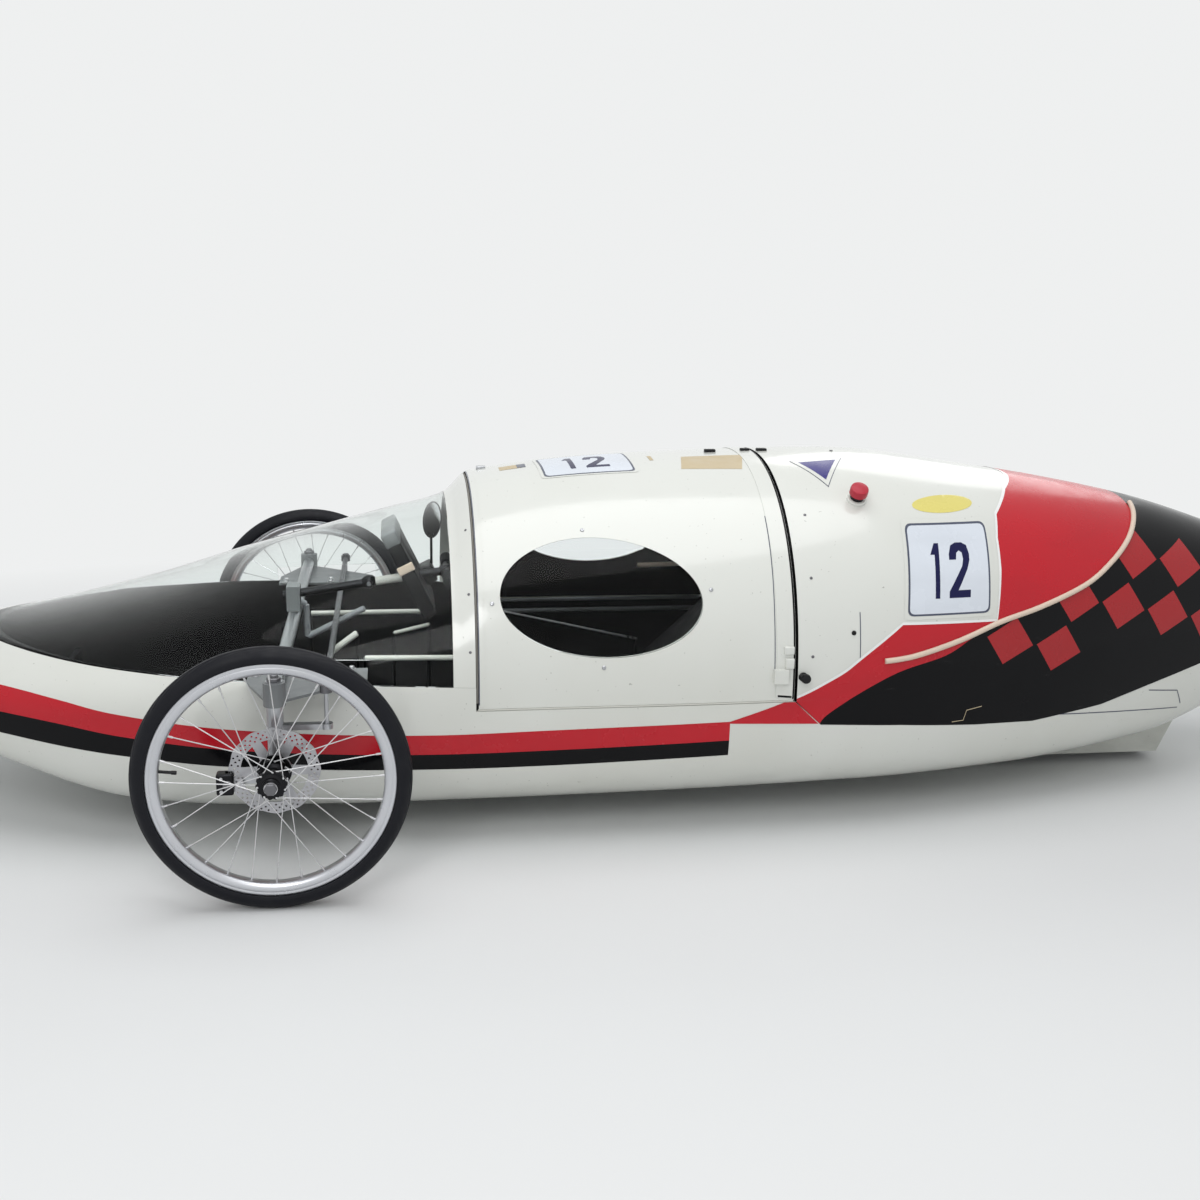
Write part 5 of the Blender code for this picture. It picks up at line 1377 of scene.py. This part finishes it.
def make_board():
    """Instrument board with rounded edges, a grey cap strip, a gauge, switches, and a tan block on its left
    edge that is a painted reflection.
    """
    turn, half = board_frame()
    wide, thick = BOARD_HALF_WIDTH, BOARD_THICKNESS / 2
    parts = [block("board", (-half, -wide, -thick), (half, wide, thick), BLACK_PLASTIC, 0.005, 4)]
    proud = 0.0012
    low, high = (half - 0.030, -wide - proud, -thick - proud), (half + proud, wide + proud, thick + proud)
    parts.append(block("cap", low, high, GREY_PAINT, 0.004, 3))
    # Tan block round the board's left edge: a painted reflection, standing in for a tan glint on the dark
    # board.
    low, high = (0.006, wide - 0.002, -thick - 0.002), (0.024, wide + 0.003, thick + 0.003)
    parts.append(block("tan_reflection_block", low, high, CREAM, 0.002, 3))
    for x, y, radius, high, look in DIALS:
        sizes = (radius, thick - 0.002, thick + high * 0.85, radius * 0.9, thick + high)
        parts.append(capped("dial", sizes, (x, y, 0), UP, look, 32))
    for x, z, radius, look in SWITCHES:
        rows = [(0, -0.002), (radius, -0.002), (radius, 0.004)]
        rows += [(radius * 0.7, 0.005), (radius * 0.6, 0.003), (0, 0.003)]
        parts.append(lathe("switch", rows, (x, wide, z), LEFT, look, 28))
    board = joined("instrument_board_fine", parts)
    board.data.transform(turn)
    combined(board, rod("bore", *column_ends(), COLUMN_RADIUS + SEAT_GAP, None, 48), "DIFFERENCE")
    settle(board, "root", "black_plastic", "instrument_board")


def make_mirror():
    """Round mirror: a dished black housing, its glass to the driver's side, and a stalk on the board."""
    place = at(MIRROR_PLACE[0], MIRROR_Y, MIRROR_PLACE[1])
    face = Vector((-math.cos(MIRROR_TURN), math.sin(MIRROR_TURN), 0))
    r = MIRROR_RADIUS
    rows = [(0, -0.0050), (r * 0.45, -0.0048), (r * 0.80, -0.0030), (r * 0.96, 0.0005), (r, 0.0030)]
    rows += [(r, 0.0050), (r * 0.94, 0.0050), (r * 0.93, 0.0036), (0, 0.0036)]
    housing = lathe("housing", rows, place, face, BLACK_PLASTIC, 64)
    rows = [(0, 0.0034), (r * 0.925, 0.0034), (r * 0.925, 0.0041), (0, 0.0042)]
    glass = lathe("glass", rows, place, face, MIRROR_GLASS, 64)
    low, high = (-0.060, MIRROR_Y - 0.035, 0.012), (-0.022, MIRROR_Y + 0.028, 0.041)
    pad = block("pad", low, high, BLACK_PLASTIC, 0.003, 3)
    pad.data.transform(board_frame()[0])
    top = place - UP * r * 0.8
    foot = Vector((top.x, MIRROR_Y, 0.466))
    stalk = tube("stalk", [foot, foot.lerp(top, 0.5), top], 0.0028, BLACK_PLASTIC)
    rows = mm(0, -6, 4.5, -4, 6, 0, 4.5, 4, 0, 6)
    ball = lathe("ball", rows, top, UP, BLACK_PLASTIC, 20)
    seat("mirror_fine", [housing, glass, pad, stalk, ball], "root", "black_plastic", "mirror")


def make_column():
    """Column and cross bar with clamped, ribbed grips."""
    front, rear = column_ends()
    reach = LEFT * GRIP_HALF
    ahead = (front - rear).normalized()
    joint, collar = front.lerp(rear, 0.52), front.lerp(rear, 0.72)
    ends = (front, joint, collar, rear)
    looks = (BLACK_ANODISED, PALE_TUBE, BLACK_ANODISED)
    parts = []
    for start, end, look in zip(ends, ends[1:], looks):
        parts.append(rod("column", start, end, COLUMN_RADIUS, look, 40, 0.001))
    parts.append(rod("bar", rear - reach, rear + reach, COLUMN_RADIUS, BLACK_ANODISED, 40))
    ball = mm(0, -16, 10, -14, 14.5, -7, 15.5, 0, 14.5, 7, 10, 14, 0, 16)
    parts.append(lathe("joint", ball, joint, rear - front, BLACK_ANODISED, 40))
    parts.append(slug("joint_pin", 0.0045, -0.018, 0.018, joint, LEFT, ALLOY, 20))
    parts.append(rod("clamp", rear + ahead * 0.016, rear - ahead * 0.006, 0.0125, BLACK_ANODISED, 40, 0.0015))
    length = GRIP_HALF * 0.57
    step = (length - 0.008) / GRIP_RIBS
    foot = GRIP_RADIUS - RIB_DEPTH
    rows = [(COLUMN_RADIUS, 0.0), (GRIP_RADIUS, 0.0006)]
    for i in range(GRIP_RIBS):
        low = 0.003 + step * i
        rows += [(GRIP_RADIUS, low), (GRIP_RADIUS, low + step * 0.55)]
        rows += [(foot, low + step * 0.65), (foot, low + step * 0.95)]
    rows += [(GRIP_RADIUS, length - 0.004), (GRIP_RADIUS, length - 0.001)]
    rows += [(GRIP_RADIUS - 0.002, length), (0, length)]
    for side in (-1, 1):
        parts.append(lathe("grip", rows, rear + reach * side * 0.45, LEFT * side, GRIP_RUBBER, 36))
    seat("steering_column_fine", parts, "handlebar", "aluminium", "steering_column")


def make_steering_hardware():
    """Kingpin cap nuts, bolts through the gussets, and nuts on the tie rod's eyes."""
    rod_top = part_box("tie_rod")[1].z
    plate_top = sill_z(FRONT_FROM_NOSE - GUSSET_REAR) + SEAT_GAP + GUSSET_THICKNESS
    for side, word in SIDES:
        pin_y = side * KINGPIN_Y
        spot = (FRONT_X, pin_y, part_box(f"kingpin_gusset_{word}")[1].z)
        parts = [slug("washer", 0.0150, 0, 0.0016, spot, UP, ALLOY, 32)]
        parts.append(capped("nut", (0.0125, 0.0016, 0.0075, 0.0108, 0.0090), spot, UP, DARK_STEEL, 6))
        dome = mm(0, 9, 8.5, 9, 7.5, 13, 4, 15.5, 0, 16.2)
        parts.append(lathe("dome", dome, spot, UP, DARK_STEEL, 28))
        for x, outward in GUSSET_BOLTS:
            spot = (FRONT_X + x, side * (BEAM_HALF + outward), plate_top)
            parts.append(slug("washer", 0.0072, 0, 0.0010, spot, UP, SPOKE_STEEL, 24))
            parts.append(capped("bolt", (0.0055, 0.001, 0.0042, 0.0047, 0.0050), spot, UP, SPOKE_STEEL, 6))
        seat(f"gusset_bolts_{word}", parts, "root", "grey_steel")
        spot, sizes = (FRONT_X - STEERING_ARM, pin_y, rod_top), (0.0078, 0.0003, 0.0042, 0.0068, 0.0050)
        settle(capped(f"rod_end_nut_{word}", sizes, spot, UP, DARK_STEEL, 6), f"steer_{word}", "aluminium")


BAR_FRONT, BAR_REAR = (1.711, 0.372), (1.86, 0.377)
# Rails and struts: both ends as (behind the nose, left, height), radius and look
RAILS = [
    ((0.922, -0.20, 0.319), (1.187, -0.20, 0.319), 0.0055, PALE_TUBE),
    ((0.982, 0.200, 0.341), (1.037, 0.200, 0.382), 0.0065, PALE_TUBE),
    ((1.109, 0.020, 0.330), (1.185, 0.020, 0.348), 0.0040, PALE_TUBE),
    ((1.051, 0.200, 0.329), (1.240, 0.200, 0.326), 0.0055, PALE_TUBE),
    ((0.922, -0.050, 0.379), (0.924, -0.050, 0.307), 0.0065, ARM_PAINT),
    ((0.924, -0.050, 0.307), (1.047, -0.050, 0.368), 0.0065, ARM_PAINT),
    ((0.922, -0.050, 0.379), (0.886, -0.050, 0.402), 0.0065, ARM_PAINT),
]
BELT_ROD = ((1.345, -0.05, 0.356), (1.649, -0.05, 0.286))


def post(place, y, top):
    """A thin dark post from the tub's floor up to a rail's end."""
    bottom, widest, _, half = section_at(place)
    share = (1 - (abs(y) / half) ** LOWER_ROUNDNESS) ** (1 / LOWER_ROUNDNESS)
    floor = widest - (widest - bottom) * share + WALL * 0.6
    return rod("post", at(place, y, floor), at(place, y, top), 0.0032, BLACK_ANODISED, 12)


def make_rails():
    """Rails, struts and a lever that show through the windscreen and the window."""
    parts = []
    for start, end, radius, look in RAILS:
        parts.append(rod("rail", at(*start), at(*end), radius, look, 24, radius * 0.25))
        if look is PALE_TUBE:
            parts += [post(*start), post(*end)]
    seat("cockpit_rails", parts, "root", "grey_steel")
    parts = []
    for z, thick in ((0.293, 0.008), (0.266, 0.010)):
        low, high = at(1.870, -0.4120, z - thick), at(1.300, -0.4040, z)
        parts.append(block("sill_rail", low, high, GREY_PAINT, 0.002))
    parts.append(rod("belt_rod", *(at(*end) for end in BELT_ROD), 0.0022, SPOKE_STEEL, 16))
    parts += [post(*end) for end in BELT_ROD]
    seat("far_sill_rails", parts, "root", "grey_steel")
    ends = [at(place, WALL + 0.004 - skin_y(place, z), z) for place, z in (BAR_FRONT, BAR_REAR)]
    settle(rod("hatch_bar", *ends, 0.0056, CREAM, 20, 0.001), "hatch", "black_plastic")


# Camera, light and floor

CAMERA_PLACE = (0.579, 2.945, 1.154)
CAMERA_RIGHT = (-0.98973416, 0.14154217, 0.01980148)
CAMERA_UP = (-0.01620402, -0.24878719, 0.96842262)
LENS = 42.036
BACKDROP = (0.86, 0.87, 0.87)
# Lamps: name, place, the point it is turned to, size and power
LAMPS = [
    ("ceiling", (0.2, 0.6, 3.8), (0, 0, 0), 3.8, 74.0),
    ("front_strip", (1.2, 3.0, 2.4), (0.3, 0, 0.3), 1.4, 26.0),
    ("rear_fill", (-2.2, -2.9, 2.4), (0, 0, 0.3), 2.4, 20.0),
]
FADE_START, FADE_END = 0.95, 2.3


def make_camera():
    data = bpy.data.cameras.new("photo_camera")
    data.lens, data.sensor_width, data.sensor_fit = LENS, 36.0, "HORIZONTAL"
    camera = bpy.data.objects.new("photo_camera", data)
    right, up = Vector(CAMERA_RIGHT), Vector(CAMERA_UP)
    turn = Matrix((right, up, right.cross(up))).transposed().to_4x4()
    turn.translation = Vector(CAMERA_PLACE)
    camera.matrix_world = turn
    bpy.context.scene.collection.objects.link(camera)
    bpy.context.scene.camera = camera


def make_light():
    """Three round area lamps, and a world whose plain backdrop is what camera, glass and gloss see."""
    for name, place, target, size, power in LAMPS:
        data = bpy.data.lights.new(name, "AREA")
        data.shape, data.size, data.energy = "DISK", size, power
        lamp = bpy.data.objects.new(name, data)
        lamp.location = place
        lamp.rotation_euler = (Vector(target) - Vector(place)).to_track_quat("-Z", "Y").to_euler()
        bpy.context.scene.collection.objects.link(lamp)
    world = bpy.data.worlds.new("studio")
    world.use_nodes = True
    bpy.context.scene.world = world
    tree = world.node_tree
    plain = tree.nodes["Background"]
    plain.inputs[0].default_value = (0.93, 0.95, 0.97, 1)
    plain.inputs[1].default_value = 0.60
    seen = add_node(tree, "ShaderNodeBackground", Color=(*BACKDROP, 1))
    path = tree.nodes.new("ShaderNodeLightPath").outputs
    either = reckoned(tree, "MAXIMUM", path["Is Camera Ray"], path["Is Transmission Ray"])
    shown = reckoned(tree, "MAXIMUM", either, path["Is Glossy Ray"])
    mix_shaders(tree, shown, plain, seen, "World Output")


def make_floor():
    """A pale disc that fades into the backdrop's colour away from the vehicle."""
    shape = bmesh.new()
    bmesh.ops.create_circle(shape, cap_ends=True, segments=96, radius=40.0)
    look = Look("pale_floor", (0.70, 0.71, 0.71), 0.7)
    look.patches((0.66, 0.66, 0.66), 0.35, 0.4, 0.7, 0.8, 4.0)
    flat = look.node("ShaderNodeEmission", Color=(*BACKDROP, 1), Strength=1.0)
    spread = look.node("ShaderNodeVectorMath")
    spread.operation = "LENGTH"
    oval = look.node("ShaderNodeMapping", Vector=look.place(), Scale=(0.55, 1.0, 1.0))
    look.tree.links.new(oval.outputs[0], spread.inputs[0])
    fade = look.ramp(spread.outputs["Value"], FADE_START, FADE_END)
    mix_shaders(look.tree, fade, look.shader, flat, "Material Output")
    floor = from_bmesh("studio_floor", shape, look.material)
    floor.location.z = -0.0005


DRESSED = [
    (ALLOY, ["front_beam", "knuckle_left", "knuckle_right", "rear_dropout_left", "rear_dropout_right"]),
    (ALLOY, ["hatch_hinge_front", "hatch_hinge_rear"]),
    (GREY_PAINT, ["column_bracket", "kingpin_gusset_left", "kingpin_gusset_right"]),
    (DARK_STEEL, ["tie_rod", "engine_block", "rear_axle"]),
    (CARBON, ["rear_bulkhead", "foot_rest"]),
    (WHITE, ["rear_wheel_fairing", "hatch_latch"]),
    (FOAM, ["seat_shell"]),
]


def dress_nodes():
    """Gives finer materials to the CAD nodes whose shape stays."""
    for look, nodes in DRESSED:
        for node in nodes:
            NODES[node].data.materials.clear()
            NODES[node].data.materials.append(look)


def write_sizes():
    """Updates the view layer."""
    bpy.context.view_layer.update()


bpy.context.scene.view_settings.view_transform = "Standard"
for step in (
    make_camera, make_light, make_floor, dress_nodes,
    make_tub, make_tail, make_hoop, make_windscreen, make_hatch, make_wheels,
    make_stripes, make_swoosh, make_diamonds, make_number_plate, make_bead,
    make_hinges, make_seals, make_flanges, make_screws, make_latch, make_roof, make_tail_marks, make_button,
    make_board, make_mirror, make_column, make_steering_hardware, make_rails,
    write_sizes,
):
    step()
